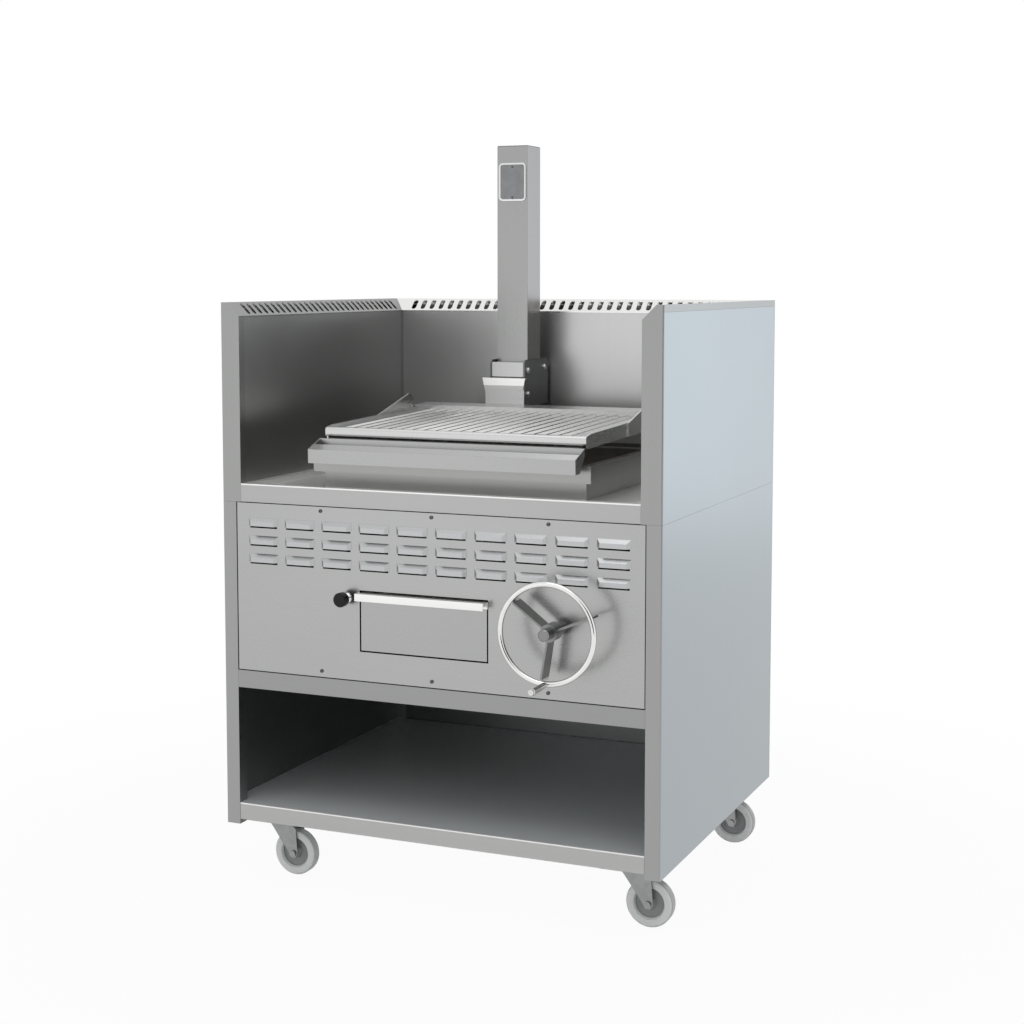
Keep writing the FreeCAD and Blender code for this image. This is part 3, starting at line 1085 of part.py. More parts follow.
def mast():
    """Square column through the deck, with a foot, a rear slot and the windows of the cable."""
    half = "mast_side/2"
    outer = block("mast_outer", (f"mast_x - {half}", f"mast_x + {half}"), ("mast_front", "mast_back"),
                  ("bay_ceiling_top", "mast_top"))
    foot = block("mast_foot_plate", ("mast_x - mast_foot/2", "mast_x + mast_foot/2"),
                 ("mast_centre_y - mast_foot/2", "mast_centre_y + mast_foot/2"),
                 ("bay_ceiling_top", "bay_ceiling_top + mast_foot_thickness"))
    bore = block("mast_bore", ("mast_x - mast_inner", "mast_x + mast_inner"),
                 ("mast_front + mast_wall", "mast_back - mast_wall"),
                 ("bay_ceiling_top - overrun", "mast_top + overrun"))
    slot = block("mast_slot", ("fall_x - lug_slot/2", "fall_x + lug_slot/2"),
                 ("mast_back - mast_wall - overrun", "mast_back + overrun"),
                 ("lug_top - lug_height - slot_margin", "lug_top + lift_travel + slot_margin"))
    window = block("mast_window", ("mast_x + mast_inner - overrun", f"mast_x + {half} + overrun"),
                   ("cable_y - cable_window/2", "cable_y + cable_window/2"),
                   ("cable_run_z - cable_window/2", "cable_run_z + cable_window/2"))
    holes = [rod(f"mast_pin_hole_{index}", "y", "pin_radius + running_gap/2", "mast_front - overrun",
                 "mast_back + overrun", ("mast_x", height))
             for index, height in enumerate(("foot_pulley_z", "top_pulley_z"))]
    piece(cut("mast", fuse("mast_body", [outer, foot]), [bore, slot, window] + holes), "mast_column")
    cap = block("mast_cap_plate", (f"mast_x - {half}", f"mast_x + {half}"), ("mast_front", "mast_back"),
                ("mast_top", "mast_top + mast_cap"))
    plug = block("mast_cap_plug", ("mast_x - mast_inner + seat_gap", "mast_x + mast_inner - seat_gap"),
                 ("mast_front + mast_wall + seat_gap", "mast_back - mast_wall - seat_gap"),
                 ("mast_top - overrun", "mast_top"))
    piece(fuse("cap", [cap, plug]), "mast_cap")


ROLLERS = [("upper_front_roller", "roller_front_y", "roller_upper_z"),
           ("lower_front_roller", "roller_front_y", "roller_lower_z"),
           ("rear_roller", "roller_rear_y", "roller_rear_z")]


def carriage():
    """Two side plates round the mast, joined by a rear plate with the cable lug and a front bar."""
    parts = []
    for side, name in ((-1, "left"), (1, "right")):
        low, high = sorted_pair(side, "plate_inner", "plate_outer")
        parts.append(extrusion(f"carriage_{name}", "YZ", [
            ("nose_front", "nose_bottom"), ("plate_front", "nose_bottom"),
            ("plate_front + plate_corner/2", "plate_bottom"), ("plate_back", "plate_bottom"),
            ("plate_back", "plate_top - plate_corner"), ("plate_back - plate_corner", "plate_top"),
            ("plate_front + plate_corner", "plate_top"), ("plate_front", "plate_top - plate_corner"),
            ("plate_front", "nose_top"), ("nose_front", "nose_top"),
        ], f"mast_x + {low}", f"mast_x + {high}"))
    parts.append(block("cross_plate", ("mast_x - plate_outer", "mast_x + plate_outer"),
                       ("plate_back - plate_thickness", "plate_back"), ("plate_bottom", "cross_top")))
    parts.append(block("hanger_bar", ("mast_x - plate_outer", "mast_x + plate_outer"),
                       ("nose_front", "nose_front + bar_thickness"), ("nose_bottom", "nose_top")))
    parts.append(block("lug", ("fall_x - lug_thickness/2", "fall_x + lug_thickness/2"),
                       ("cable_y - lug_nose", "plate_back"), ("lug_top - lug_height", "lug_top")))
    body = fuse("carriage_body", parts)
    ends = ("mast_x - plate_outer - overrun", "mast_x + plate_outer + overrun")
    holes = [rod(f"{name}_hole", "x", "axle_radius + running_gap/2", *ends, (y, z))
             for name, y, z in ROLLERS]
    piece(cut("carriage", body, holes), "carriage_frame")
    half = "(plate_inner - seat_gap)"
    cover = extrusion("cover", "YZ", [
        ("cover_front", "cover_bottom"), ("cover_back", "cover_bottom"),
        ("cover_back", "cover_bottom + sheet"), ("cover_front + sheet", "cover_bottom + sheet"),
        ("cover_front + sheet", "cover_top - sheet"), ("cover_back", "cover_top - sheet"),
        ("cover_back", "cover_top"), ("cover_front", "cover_top"),
    ], f"mast_x - {half}", f"mast_x + {half}")
    piece(cover, "carriage_cover")


def rollers():
    """Rollers on the front and the rear face of the mast, and their three bolts."""
    bolts = []
    for name, y, z in ROLLERS:
        half = "roller_width/2"
        roller = revolve(name + "_body", [
            (f"-{half}", "axle_radius + running_gap"), (f"-{half}", "roller_radius - sheet/2"),
            (f"sheet/2 - {half}", "roller_radius"), (f"{half} - sheet/2", "roller_radius"),
            (half, "roller_radius - sheet/2"), (half, "axle_radius + running_gap"),
        ])
        roller.Placement = Placement(Vector(), Rotation(Vector(0, 0, 1), -90))
        piece(roller, name, x="mast_x", y=y, z=z)
        reach = "(plate_outer + axle_head)"
        bolts.append(fuse(name + "_bolt", [
            rod(name + "_axle", "x", "axle_radius", f"mast_x - {reach}", f"mast_x + {reach}", (y, z)),
            rod(name + "_head", "x", "axle_head_radius", "mast_x + plate_outer", f"mast_x + {reach}", (y, z)),
            rod(name + "_nut", "x", "axle_head_radius", f"mast_x - {reach}", "mast_x - plate_outer", (y, z)),
        ]))
    piece(gather("bolts", bolts), "roller_bolts")


def on_grill(target, label):
    """Place a sub-part that is drawn from the nose's front top edge and leans with the grill."""
    target.Placement = Placement(Vector(), Rotation(Vector(1, 0, 0), number("grill_pitch")))
    piece(target, label, y="grill_y", z="grill_z")


def side_plates(side):
    """A side plate of the grill frame, and the wing on its outside that sweeps up at the back."""
    name = "left" if side < 0 else "right"
    plate = extrusion(f"side_plate_{name}", "YZ", [
        ("nose_depth/2", "-wing_bottom"), ("nose_depth/2", "0"),
        ("2*nose_depth", "wing_front_height"), ("grill_depth", "wing_front_height"),
        ("grill_depth", "-wing_bottom"),
    ], *sorted_pair(side, "wing_inner", "grill_half"))
    wing = extrusion(f"wing_{name}", "YZ", [
        ("wing_rise_y", "-wing_bottom"), ("wing_rise_y", "wing_front_height"),
        ("wing_peak_y - wing_round/2", "wing_peak - wing_round/8"), ("wing_peak_y", "wing_peak"),
        ("wing_peak_y + wing_round/2", "wing_peak"),
        ("wing_peak_y + wing_round", "wing_peak - wing_round/4"),
        ("wing_peak_y + 1.5*wing_round", "wing_peak - wing_round"),
        ("wing_peak_y + 1.5*wing_round", "-wing_bottom"),
    ], *sorted_pair(side, "grill_half", "grill_half + wing_thickness"))
    return [plate, wing]


def grill_frame():
    """Welded frame of the lifting grill: nose, side plates, wings, flanges and the back rail."""
    nose = extrusion("grill_nose", "YZ", [
        ("0", "-nose_height"), ("0", "0"), ("nose_depth", "0"), ("nose_depth", "-nose_height"),
    ], "-grill_half", "grill_half")
    round_edges(nose, "nose_round", lambda edge: near(edge.BoundBox.YMax, "0")
                and edge.BoundBox.XLength > number("nose_depth"))
    parts = [nose, *side_plates(-1), *side_plates(1)]
    inner = "(grill_depth - wing_thickness)"
    for side, name in ((-1, "left"), (1, "right")):
        parts.append(block(f"side_flange_{name}", sorted_pair(side, "grill_half - side_flange", "grill_half"),
                           ("nose_depth", "grill_depth"), ("-sheet", "0")))
        parts.append(block(f"tab_{name}", sorted_pair(side, "grill_half - tab_width", "grill_half"),
                           ("nose_depth/2", "tab_back"),
                           ("-gutter_back_top - 2*sheet - seat_gap",
                            "-gutter_back_top - sheet - seat_gap")))
    across = ("-grill_half", "grill_half")
    under = "bar_depth + ledge_gap"
    parts.append(block("back_rail", across, (inner, "grill_depth"), ("-wing_bottom", "back_rail_height")))
    parts.append(block("back_flange", across, (inner, "back_flange_end"),
                       ("back_rail_height - sheet", "back_rail_height")))
    parts.append(block("front_ledge", across, ("nose_depth/2", "nose_depth + ledge"),
                       (f"-({under}) - sheet", f"-({under})")))
    parts.append(block("back_ledge", across, (f"{inner} - ledge", "grill_depth"),
                       (f"-({under}) - sheet", f"-({under})")))
    on_grill(fuse("frame", parts), "grill_frame")


def grill_bars():
    """V-section bars that lead the fat forward, laid side by side on the frame's ledges."""
    half = "bar_width/2"
    rise = "bar_sheet*bar_depth/bar_width*2"
    master = extrusion("grill_bar", "XZ", [
        (f"-{half}", "0"), ("0", "-bar_depth"), (half, "0"), (f"{half} - bar_sheet", "0"),
        ("0", f"{rise} - bar_depth"), (f"bar_sheet - {half}", "0"),
    ], "nose_depth + ledge_gap", "grill_depth - wing_thickness - ledge_gap")
    document.recompute()
    count = round(number("bars"))
    bars = document.addObject("Part::Feature", "bars_row")
    moves = [Vector((index - (count - 1) / 2) * number("bar_pitch"), 0, 0) for index in range(count)]
    bars.Shape = Part.makeCompound([master.Shape.translated(move) for move in moves])
    on_grill(bars, "grill_bars")


def grill_hook():
    """Folded hook that hangs the grill on the carriage's bar."""
    half = "hook_width/2"
    top_half = "hook_top_width/2"
    plate = block("hook_plate", (f"mast_x - {half}", f"mast_x + {half}"),
                  ("hook_plate_front", "hook_plate_back"), ("hook_bottom", "hook_top"))
    roof = block("hook_roof", (f"mast_x - {top_half}", f"mast_x + {top_half}"),
                 ("hook_plate_front - apron_gap - hook_sheet", "hook_plate_back"),
                 ("hook_under", "hook_top"))
    bridge = block("hook_bridge", ("mast_x - hook_leg_width/2", "mast_x + hook_leg_width/2"),
                   ("hook_plate_front", "hook_leg_front + hook_sheet"), ("hook_under", "hook_top"))
    leg = block("hook_leg_plate", ("mast_x - hook_leg_width/2", "mast_x + hook_leg_width/2"),
                ("hook_leg_front", "hook_leg_front + hook_sheet"), ("hook_top - hook_leg", "hook_top"))
    apron = extrusion("hook_apron_plate", "XZ", [
        (f"mast_x - {half}", "hook_top - hook_apron"), (f"mast_x + {half}", "hook_top - hook_apron"),
        (f"mast_x + {top_half}", "hook_top"), (f"mast_x - {top_half}", "hook_top"),
    ], "hook_plate_front - apron_gap - hook_sheet", "hook_plate_front - apron_gap")
    piece(fuse("hook", [plate, roof, bridge, leg, apron]), "grill_hook")


def grease_gutter():
    """Folded trough in front of the nose with slanted ends and a lip under the bars' ends."""
    trough = extrusion("trough", "YZ", [
        ("-gutter_front", "-gutter_front_top"), ("-gutter_front", "-gutter_bottom"),
        ("gutter_floor - gutter_front", "-gutter_bottom"), ("-gutter_back", "-gutter_rise"),
        ("-gutter_back", "-gutter_back_top"), ("-gutter_back - sheet", "-gutter_back_top"),
        ("-gutter_back - sheet", "sheet/3 - gutter_rise"),
        ("gutter_floor - gutter_front - sheet/2", "sheet - gutter_bottom"),
        ("sheet - gutter_front", "sheet - gutter_bottom"), ("sheet - gutter_front", "-gutter_front_top"),
    ], "-gutter_half", "gutter_half")
    ends = [extrusion(f"trough_end_{name}", "YZ", [
        ("-gutter_front", "-gutter_front_top"), ("-gutter_front", "-gutter_bottom"),
        ("gutter_floor - gutter_front", "-gutter_bottom"), ("-gutter_back", "-gutter_rise"),
        ("-gutter_back", "-gutter_back_top"),
    ], *sorted_pair(side, "gutter_half - sheet", "gutter_half"))
        for side, name in ((-1, "left"), (1, "right"))]
    lip = block("trough_lip", ("-gutter_lip_width/2", "gutter_lip_width/2"),
                ("-gutter_back - sheet", "gutter_lip_back"),
                ("-gutter_back_top - sheet", "-gutter_back_top"))
    on_grill(fuse("gutter", [trough, lip] + ends), "grease_gutter")


def castor_plates(spots):
    plates = []
    for index, (x, y) in enumerate(spots):
        plate = block(f"castor_plate_{index}", (f"{x} - castor_plate_x/2", f"{x} + castor_plate_x/2"),
                      (f"{y} - castor_plate_y/2", f"{y} + castor_plate_y/2"),
                      ("-castor_plate_thickness", "0"))
        race = rod(f"castor_race_{index}", "z", "race_radius", "-castor_plate_thickness - race_height",
                   "-castor_plate_thickness", (x, y))
        plates.append(fuse(f"castor_top_{index}", [plate, race]))
    piece(gather("castor_tops", plates), "castor_plates")


def castor(name, x, y):
    """Swivel fork with its riveted axle, and the wheel that turns on it."""
    eye = ("trail", "wheel_z")
    root_shares = [(-0.9, 0.95), (-0.45, 0.6)]
    eye_shares = [(1, 0), (0.5, -0.87), (-0.5, -0.87), (-1.1, 0.2)]
    round_eye = [(f"trail + {across}*fork_eye_radius", f"wheel_z + {up}*fork_eye_radius")
                 for across, up in eye_shares]
    legs = []
    for side in (-1, 1):
        low, high = sorted_pair(side, "fork_inner/2", "fork_inner/2 + fork_sheet")
        legs.append(extrusion(f"{name}_leg_{'near' if side < 0 else 'far'}", "XZ", [
            (f"{root_shares[0][0]}*crown_radius", "crown_top"),
            (f"{root_shares[0][1]}*crown_radius", "crown_top"),
            (f"trail + {root_shares[1][1]}*fork_eye_radius", "crown_bottom - fork_eye_radius"),
            *round_eye,
            (f"{root_shares[1][0]}*crown_radius", "crown_bottom - fork_eye_radius"),
        ], low, high))
    crown = rod(f"{name}_crown", "z", "crown_radius", "crown_bottom", "crown_top", ("0", "0"))
    reach = "(fork_inner/2 + fork_sheet)"
    axle = rod(f"{name}_axle", "y", "wheel_axle_radius", f"-{reach}", reach, eye)
    nuts = [rod(f"{name}_nut_{index}", "y", "wheel_nut_radius", low, high, eye)
            for index, (low, high) in enumerate(((f"-{reach} - wheel_nut", f"-{reach}"),
                                                 (reach, f"{reach} + wheel_nut")))]
    piece(fuse(f"{name}_fork", [crown, axle] + legs + nuts), f"{name}_fork", x=x, y=y)
    bore = "wheel_axle_radius + running_gap"
    hub = "(fork_inner/2 - seat_gap)"
    rim = "(wheel_radius - tread_depth)"
    wheel = revolve(f"{name}_wheel", [
        (f"-{hub}", bore), (f"-{hub}", "wheel_hub_radius"),
        ("-wheel_web/2", "wheel_hub_radius + tread_round"),
        ("-wheel_web/2", f"{rim} - tread_round"), ("-wheel_width/2", rim),
        ("-wheel_width/2", "wheel_radius - tread_round"), ("tread_round - wheel_width/2", "wheel_radius"),
        ("wheel_width/2 - tread_round", "wheel_radius"), ("wheel_width/2", "wheel_radius - tread_round"),
        ("wheel_width/2", rim), ("wheel_web/2", f"{rim} - tread_round"),
        ("wheel_web/2", "wheel_hub_radius + tread_round"), (hub, "wheel_hub_radius"), (hub, bore),
    ])
    piece(wheel, f"{name}_wheel", x=f"{x} + trail", y=y, z="wheel_z")


def castors():
    spots = {"front_left": ("-castor_x", "castor_front_y"), "front_right": ("castor_x", "castor_front_y"),
             "rear_left": ("-castor_x", "castor_back_y"), "rear_right": ("castor_x", "castor_back_y")}
    castor_plates(list(spots.values()))
    for name, (x, y) in spots.items():
        castor(name, x, y)


side_panel(-1, "left_side_panel")
side_panel(1, "right_side_panel")
rear_panels()
panel_screws()
bottom_shelf()
castor_rails()
bay_ceiling()
deck()
louvred_panel()
surround_skin(-1, "surround_left_skin")
surround_skin(1, "surround_right_skin")
surround_lining()
side_cap(-1, "vent_cap_left")
side_cap(1, "vent_cap_right")
back_cap()
fire_tray()
firebricks()
ember_grate()
ash_chute()
air_damper()
ash_drawer()
drawer_runners()
handwheel()
crank_grip()
lift_shaft()
cable_drum()
cable_winding()
lift_cable()
pulleys()
mast()
carriage()
rollers()
grill_frame()
grill_bars()
grill_hook()
grease_gutter()
castors()

document.recompute()
for feature in document.Objects:
    troubles = [state for state in feature.State if state in ("Invalid", "Error")]
    if troubles:
        raise RuntimeError(f"{feature.Name} ({feature.Label}): {troubles}")
for target in pieces:
    if target.Shape.isNull() or not target.Shape.isValid():
        raise RuntimeError(f"{target.Label} has no valid shape")

os.makedirs("parts", exist_ok=True)
for target in pieces:
    target.Shape.exportStep(f"parts/{target.Label}.step")
print(f"{len(pieces)} sub-parts written")
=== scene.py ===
from math import cos, pi, radians, sin

import bmesh
import bpy
from mathutils import Matrix, Vector

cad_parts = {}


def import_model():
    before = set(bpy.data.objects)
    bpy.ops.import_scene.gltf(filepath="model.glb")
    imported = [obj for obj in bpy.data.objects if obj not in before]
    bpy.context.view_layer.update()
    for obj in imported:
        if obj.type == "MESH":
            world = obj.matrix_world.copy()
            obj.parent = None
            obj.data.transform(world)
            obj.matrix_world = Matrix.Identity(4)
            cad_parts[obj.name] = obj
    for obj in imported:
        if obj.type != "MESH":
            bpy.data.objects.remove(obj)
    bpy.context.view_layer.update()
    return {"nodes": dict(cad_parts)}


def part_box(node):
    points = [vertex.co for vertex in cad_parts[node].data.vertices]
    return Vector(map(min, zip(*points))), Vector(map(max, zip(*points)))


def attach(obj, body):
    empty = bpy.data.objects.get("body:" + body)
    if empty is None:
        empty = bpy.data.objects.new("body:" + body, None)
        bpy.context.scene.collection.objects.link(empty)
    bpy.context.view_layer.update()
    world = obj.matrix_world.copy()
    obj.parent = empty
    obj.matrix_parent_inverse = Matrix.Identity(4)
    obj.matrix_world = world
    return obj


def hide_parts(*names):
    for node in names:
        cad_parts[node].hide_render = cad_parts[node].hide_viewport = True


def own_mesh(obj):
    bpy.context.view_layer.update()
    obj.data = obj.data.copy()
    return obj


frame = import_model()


# Outer sheets of the cabinet: the side panels with their front posts, the skins of the raised walls
# and the rear sheets. All are 2 mm stainless steel, folded, spot welded and brushed lengthwise.
class Reading:
    """A value that changes over a surface. Sums on it add Math nodes to its finish."""

    def __init__(self, finish, socket):
        self.finish = finish
        self.socket = socket

    def reckon(self, operation, *values):
        return self.finish.node("ShaderNodeMath", {"operation": operation}, values)

    def __add__(self, other):
        return self.reckon("ADD", self, other)

    def __radd__(self, other):
        return self.reckon("ADD", other, self)

    def __sub__(self, other):
        return self.reckon("SUBTRACT", self, other)

    def __rsub__(self, other):
        return self.reckon("SUBTRACT", other, self)

    def __mul__(self, other):
        return self.reckon("MULTIPLY", self, other)

    def __rmul__(self, other):
        return self.reckon("MULTIPLY", other, self)

    def __abs__(self):
        return self.reckon("ABSOLUTE", self)

    def over(self, low, high):
        """0 below low, 1 above high, a soft step between."""
        return self.finish.node("ShaderNodeMapRange", {"interpolation_type": "SMOOTHSTEP"},
                                {"Value": self, "From Min": low, "From Max": high})


class Finish:
    """One material, built node by node on its Principled shader."""

    def __init__(self, name, **constants):
        self.material = bpy.data.materials.new(name)
        self.material.use_nodes = True
        self.tree = self.material.node_tree
        self.shader = self.tree.nodes["Principled BSDF"]
        self.place = self.node("ShaderNodeTexCoord", {}, {}, "Object")
        self.set(**constants)

    def node(self, kind, settings, values, output=0):
        made = self.tree.nodes.new(kind)
        for key, value in settings.items():
            setattr(made, key, value)
        pairs = values.items() if isinstance(values, dict) else enumerate(values)
        for key, value in pairs:
            self.feed(made.inputs[key], value)
        return Reading(self, made.outputs[output])

    def feed(self, socket, value):
        if isinstance(value, Reading):
            self.tree.links.new(value.socket, socket)
        else:
            socket.default_value = value

    def noise(self, waves, detail=2.0, rough=0.5):
        """Noise with so many waves to the metre, all ways alike or counted for X, Y and Z."""
        if not isinstance(waves, tuple):
            waves = (waves, waves, waves)
        spread = self.node("ShaderNodeVectorMath", {"operation": "MULTIPLY"}, [self.place, waves])
        return self.node("ShaderNodeTexNoise", {}, {"Vector": spread, "Scale": 1.0,
                                                    "Detail": detail, "Roughness": rough})

    def axis(self, letter):
        return self.node("ShaderNodeSeparateXYZ", {}, [self.place], letter)

    def from_axle(self, across, height):
        """Distance from an axle that runs front to back."""
        flat = self.node("ShaderNodeVectorMath", {"operation": "MULTIPLY"},
                         [self.place, (1.0, 0.0, 1.0)])
        return self.node("ShaderNodeVectorMath", {"operation": "DISTANCE"},
                         [flat, (across, 0.0, height)], "Value")

    def blend(self, share, low, high, kind="MIX"):
        """A colour between two, or the second laid on the first in another way."""
        return self.node("ShaderNodeMix", {"data_type": "RGBA", "blend_type": kind},
                         {0: share, 6: low, 7: high}, 2)

    def bump(self, height, distance, strength=1.0):
        return self.node("ShaderNodeBump", {}, {"Height": height, "Distance": distance,
                                                "Strength": strength}, "Normal")

    def set(self, **values):
        """Gives the shader's sockets their values or links."""
        for socket, value in values.items():
            self.feed(self.shader.inputs[socket.replace("_", " ")], value)


def past(letter, low, high):
    """A mask of the faces that lie past a place on one axis, with a soft step from low to high."""
    return lambda finish: finish.axis(letter).over(low, high)


def before(letter, low, high):
    """A mask of the faces that lie before a place on one axis."""
    return lambda finish: 1.0 - finish.axis(letter).over(low, high)


STEEL = (0.40, 0.405, 0.40, 1.0)
GRAIN_ALONG, GRAIN_ACROSS = 9.0, 700.0
STREAK_ALONG, STREAK_ACROSS = 1.2, 90.0
SMUDGES = 4.0
GRAIN_DEPTH = 0.00002
STAIN_FADE = 0.22


def brushed(name, along, colour=STEEL, roughness=0.30, stain=None, faces=(), metal=1.0,
            relief=0.12):
    """Brushed stainless sheet with its grain along one axis, finger smudges and fine scratches.

    The waves of grain, streaks and smudges are counted to the metre. A stain is a colour, the
    height below which the heat has drawn it, and its depth of tone. Faces of another colour are
    given as a mask and their colour; most of them are painted light or shade.
    """
    finish = Finish(name, Metallic=metal)
    fine = tuple(GRAIN_ALONG if letter == along else GRAIN_ACROSS for letter in "XYZ")
    streak = tuple(STREAK_ALONG if letter == along else STREAK_ACROSS for letter in "XYZ")
    grain = finish.noise(fine, detail=3.0)
    streaks = finish.noise(streak, detail=2.0)
    smudge = finish.noise(SMUDGES, detail=4.0, rough=0.6)
    for mask, other in faces:
        colour = finish.blend(mask(finish), colour, other)
    tone = finish.blend(0.2 * streaks + 0.3 * grain + 0.5 * smudge, (0.94, 0.94, 0.94, 1.0),
                        (1.06, 1.06, 1.06, 1.0))
    tone = finish.blend(1.0, colour, tone, "MULTIPLY")
    if stain:
        hue, height, depth = stain
        cold = finish.axis("Z").over(height - STAIN_FADE, height)
        tone = finish.blend((1.0 - cold) * (depth + 0.3 * (smudge - 0.5)), tone, hue)
    finish.set(Base_Color=tone,
               Roughness=roughness + 0.08 * (smudge - 0.5) + 0.05 * (grain - 0.5),
               Normal=finish.bump(grain, GRAIN_DEPTH, relief))
    return finish.material


WELD_REACH = 0.00001
FLAT_WITHIN = radians(0.5)
EDGE_OVER = radians(35)


def dress(material, *nodes, edge=0):
    """Gives CAD nodes their material and the small round edge of a folded or cut sheet."""
    for name in nodes:
        body = frame["nodes"][name]
        body.data.materials.clear()
        body.data.materials.append(material)
        if edge:
            weld = body.modifiers.new("weld", "WELD")
            weld.merge_threshold = WELD_REACH
            flats = body.modifiers.new("flats", "DECIMATE")
            flats.decimate_type = "DISSOLVE"
            flats.angle_limit = FLAT_WITHIN
            round_over = body.modifiers.new("round", "BEVEL")
            round_over.width = edge
            round_over.segments = 2
            round_over.limit_method = "ANGLE"
            round_over.angle_limit = EDGE_OVER
            even = body.modifiers.new("even", "WEIGHTED_NORMAL")
            even.keep_sharp = False


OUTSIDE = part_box("right_side_panel")[1][0]
SIDE_TONE = (0.355, 0.36, 0.355, 1.0)
# The outer faces of the side panels are painted bluer, as the bluish light that falls on them.
SIDE_OUTSIDE_PAINTED_LIGHT = (0.35, 0.385, 0.405, 1.0)
side_sheet = brushed("brushed_side_sheet", "Z", SIDE_TONE, roughness=0.33,
                     faces=[(lambda finish: abs(finish.axis("X")).over(OUTSIDE - 0.0015,
                                                                       OUTSIDE - 0.0010),
                             SIDE_OUTSIDE_PAINTED_LIGHT)])
REAR_FACE = 0.4838
# The inner faces of the rear sheets, at the back of the storage bay, are painted dark as the shade
# in the bay; their outer faces keep the plain steel colour.
REAR_INSIDE_PAINTED_SHADE = (0.20, 0.207, 0.207, 1.0)
rear_sheet = brushed("brushed_rear_sheet", "X", REAR_INSIDE_PAINTED_SHADE, roughness=0.36,
                     faces=[(past("Y", REAR_FACE - 0.0008, REAR_FACE - 0.0004), STEEL)])
dress(side_sheet, "left_side_panel", "right_side_panel", "surround_left_skin",
      "surround_right_skin")
dress(rear_sheet, "lower_rear_panel", "upper_rear_panel")


# Inner lining of the raised walls, one bent sheet, and the vent caps that close the hollow walls on
# top. The lining has faint straw and brown heat colours low down, beside the fire, and its left
# wing is painted darker as the shade it stands in.
LEFT_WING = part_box("surround_lining")[0][0]
LINING_TONE = (0.575, 0.58, 0.575, 1.0)
HEAT_TONE = (0.30, 0.285, 0.26, 1.0)
HEAT_TOP = 1.06
# The left wing keeps the darker plain steel colour: painted shade.
lining_sheet = brushed("lining_heat_tint_and_painted_shade", "Z", LINING_TONE, roughness=0.32, relief=0.04,
                       stain=(HEAT_TONE, HEAT_TOP, 0.20),
                       faces=[(before("X", LEFT_WING + 0.0030, LEFT_WING + 0.0060), STEEL)])
dress(lining_sheet, "surround_lining")
# The back cap is painted near white as the light on its top, and the side caps dark as the shade on
# them; the back cap is also smoother.
cap_back_polish_and_painted_light = brushed("vent_cap_back_polish_and_painted_light", "X", (0.80, 0.80, 0.79, 1.0), roughness=0.24)
cap_side_painted_shade = brushed("vent_cap_side_brushed_painted_shade", "Y", (0.30, 0.305, 0.30, 1.0), roughness=0.32)
dress(cap_back_polish_and_painted_light, "vent_cap_back")
dress(cap_side_painted_shade, "vent_cap_left", "vent_cap_right")


# Deck, ceiling of the storage bay and bottom shelf: level sheets with folded lips that show as the
# cabinet's three front beams. Brushed across; the shelf is rubbed dull by what stands on it. The
# tops of the deck and the shelf behind their lips are painted near white as the light on them, and
# their front folds carry a painted highlight.
DECK_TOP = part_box("deck")[1][2]
SHELF_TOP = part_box("bottom_shelf")[1][2]
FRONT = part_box("deck")[0][1]
LIP_BACK = FRONT + 0.0022
FOLD_HIGHLIGHT_TONE = (0.95, 0.95, 0.94, 1.0)


def painted_fold_highlight(top):
    """The front fold of a level sheet, painted bright as a highlight: its last 3 mm under the top.
    """
    return (lambda finish: (1.0 - finish.axis("Y").over(LIP_BACK, LIP_BACK + 0.0008))
            * finish.axis("Z").over(top - 0.0032, top - 0.0026), FOLD_HIGHLIGHT_TONE)


behind_lip = past("Y", LIP_BACK, LIP_BACK + 0.0008)
DECK_LIP_TONE, DECK_TOP_PAINTED_LIGHT = (0.47, 0.475, 0.47, 1.0), (0.92, 0.92, 0.90, 1.0)
deck_sheet = brushed("deck_painted_light", "X", DECK_LIP_TONE, metal=0.7,
                     faces=[(behind_lip, DECK_TOP_PAINTED_LIGHT), painted_fold_highlight(DECK_TOP)])
ceiling_sheet = brushed("lower_beam_brushed", "X", (0.33, 0.335, 0.33, 1.0))
SHELF_LIP_TONE, SHELF_TOP_PAINTED_LIGHT = (0.51, 0.51, 0.505, 1.0), (0.93, 0.97, 0.99, 1.0)
shelf_sheet = brushed("shelf_dull_painted_light", "X", SHELF_LIP_TONE, roughness=0.40, metal=0.5,
                      faces=[(behind_lip, SHELF_TOP_PAINTED_LIGHT), painted_fold_highlight(SHELF_TOP)])
dress(deck_sheet, "deck")
dress(ceiling_sheet, "bay_ceiling")
dress(shelf_sheet, "bottom_shelf", edge=0.0018)


# Control panel with three rows of pressed louvres, and the pan-head screws that hold it and the
# rear sheets. The panel is brushed across. The screws are A2 stainless with a socket, painted dark
# as the shade in their sockets.
PANEL_FACE = -0.3355
# The louvres' pressed faces are painted lighter than the panel, as the light that falls on them.
PANEL_TONE, LOUVRE_PAINTED_LIGHT = (0.43, 0.435, 0.43, 1.0), (0.485, 0.495, 0.50, 1.0)
panel_sheet = brushed("control_panel_brushed", "X", PANEL_TONE, roughness=0.27,
                      faces=[(before("Y", PANEL_FACE - 0.0012, PANEL_FACE - 0.0006), LOUVRE_PAINTED_LIGHT)])
dress(panel_sheet, "control_panel")


def start_piece(name, add, **size):
    """Adds a primitive at its size and place, with nothing else selected, and opens it for work."""
    bpy.ops.object.select_all(action="DESELECT")
    add(**size)
    piece = bpy.context.object
    piece.name = name
    bpy.ops.object.transform_apply(location=True, rotation=True, scale=True)
    bpy.ops.object.mode_set(mode="EDIT")
    return piece


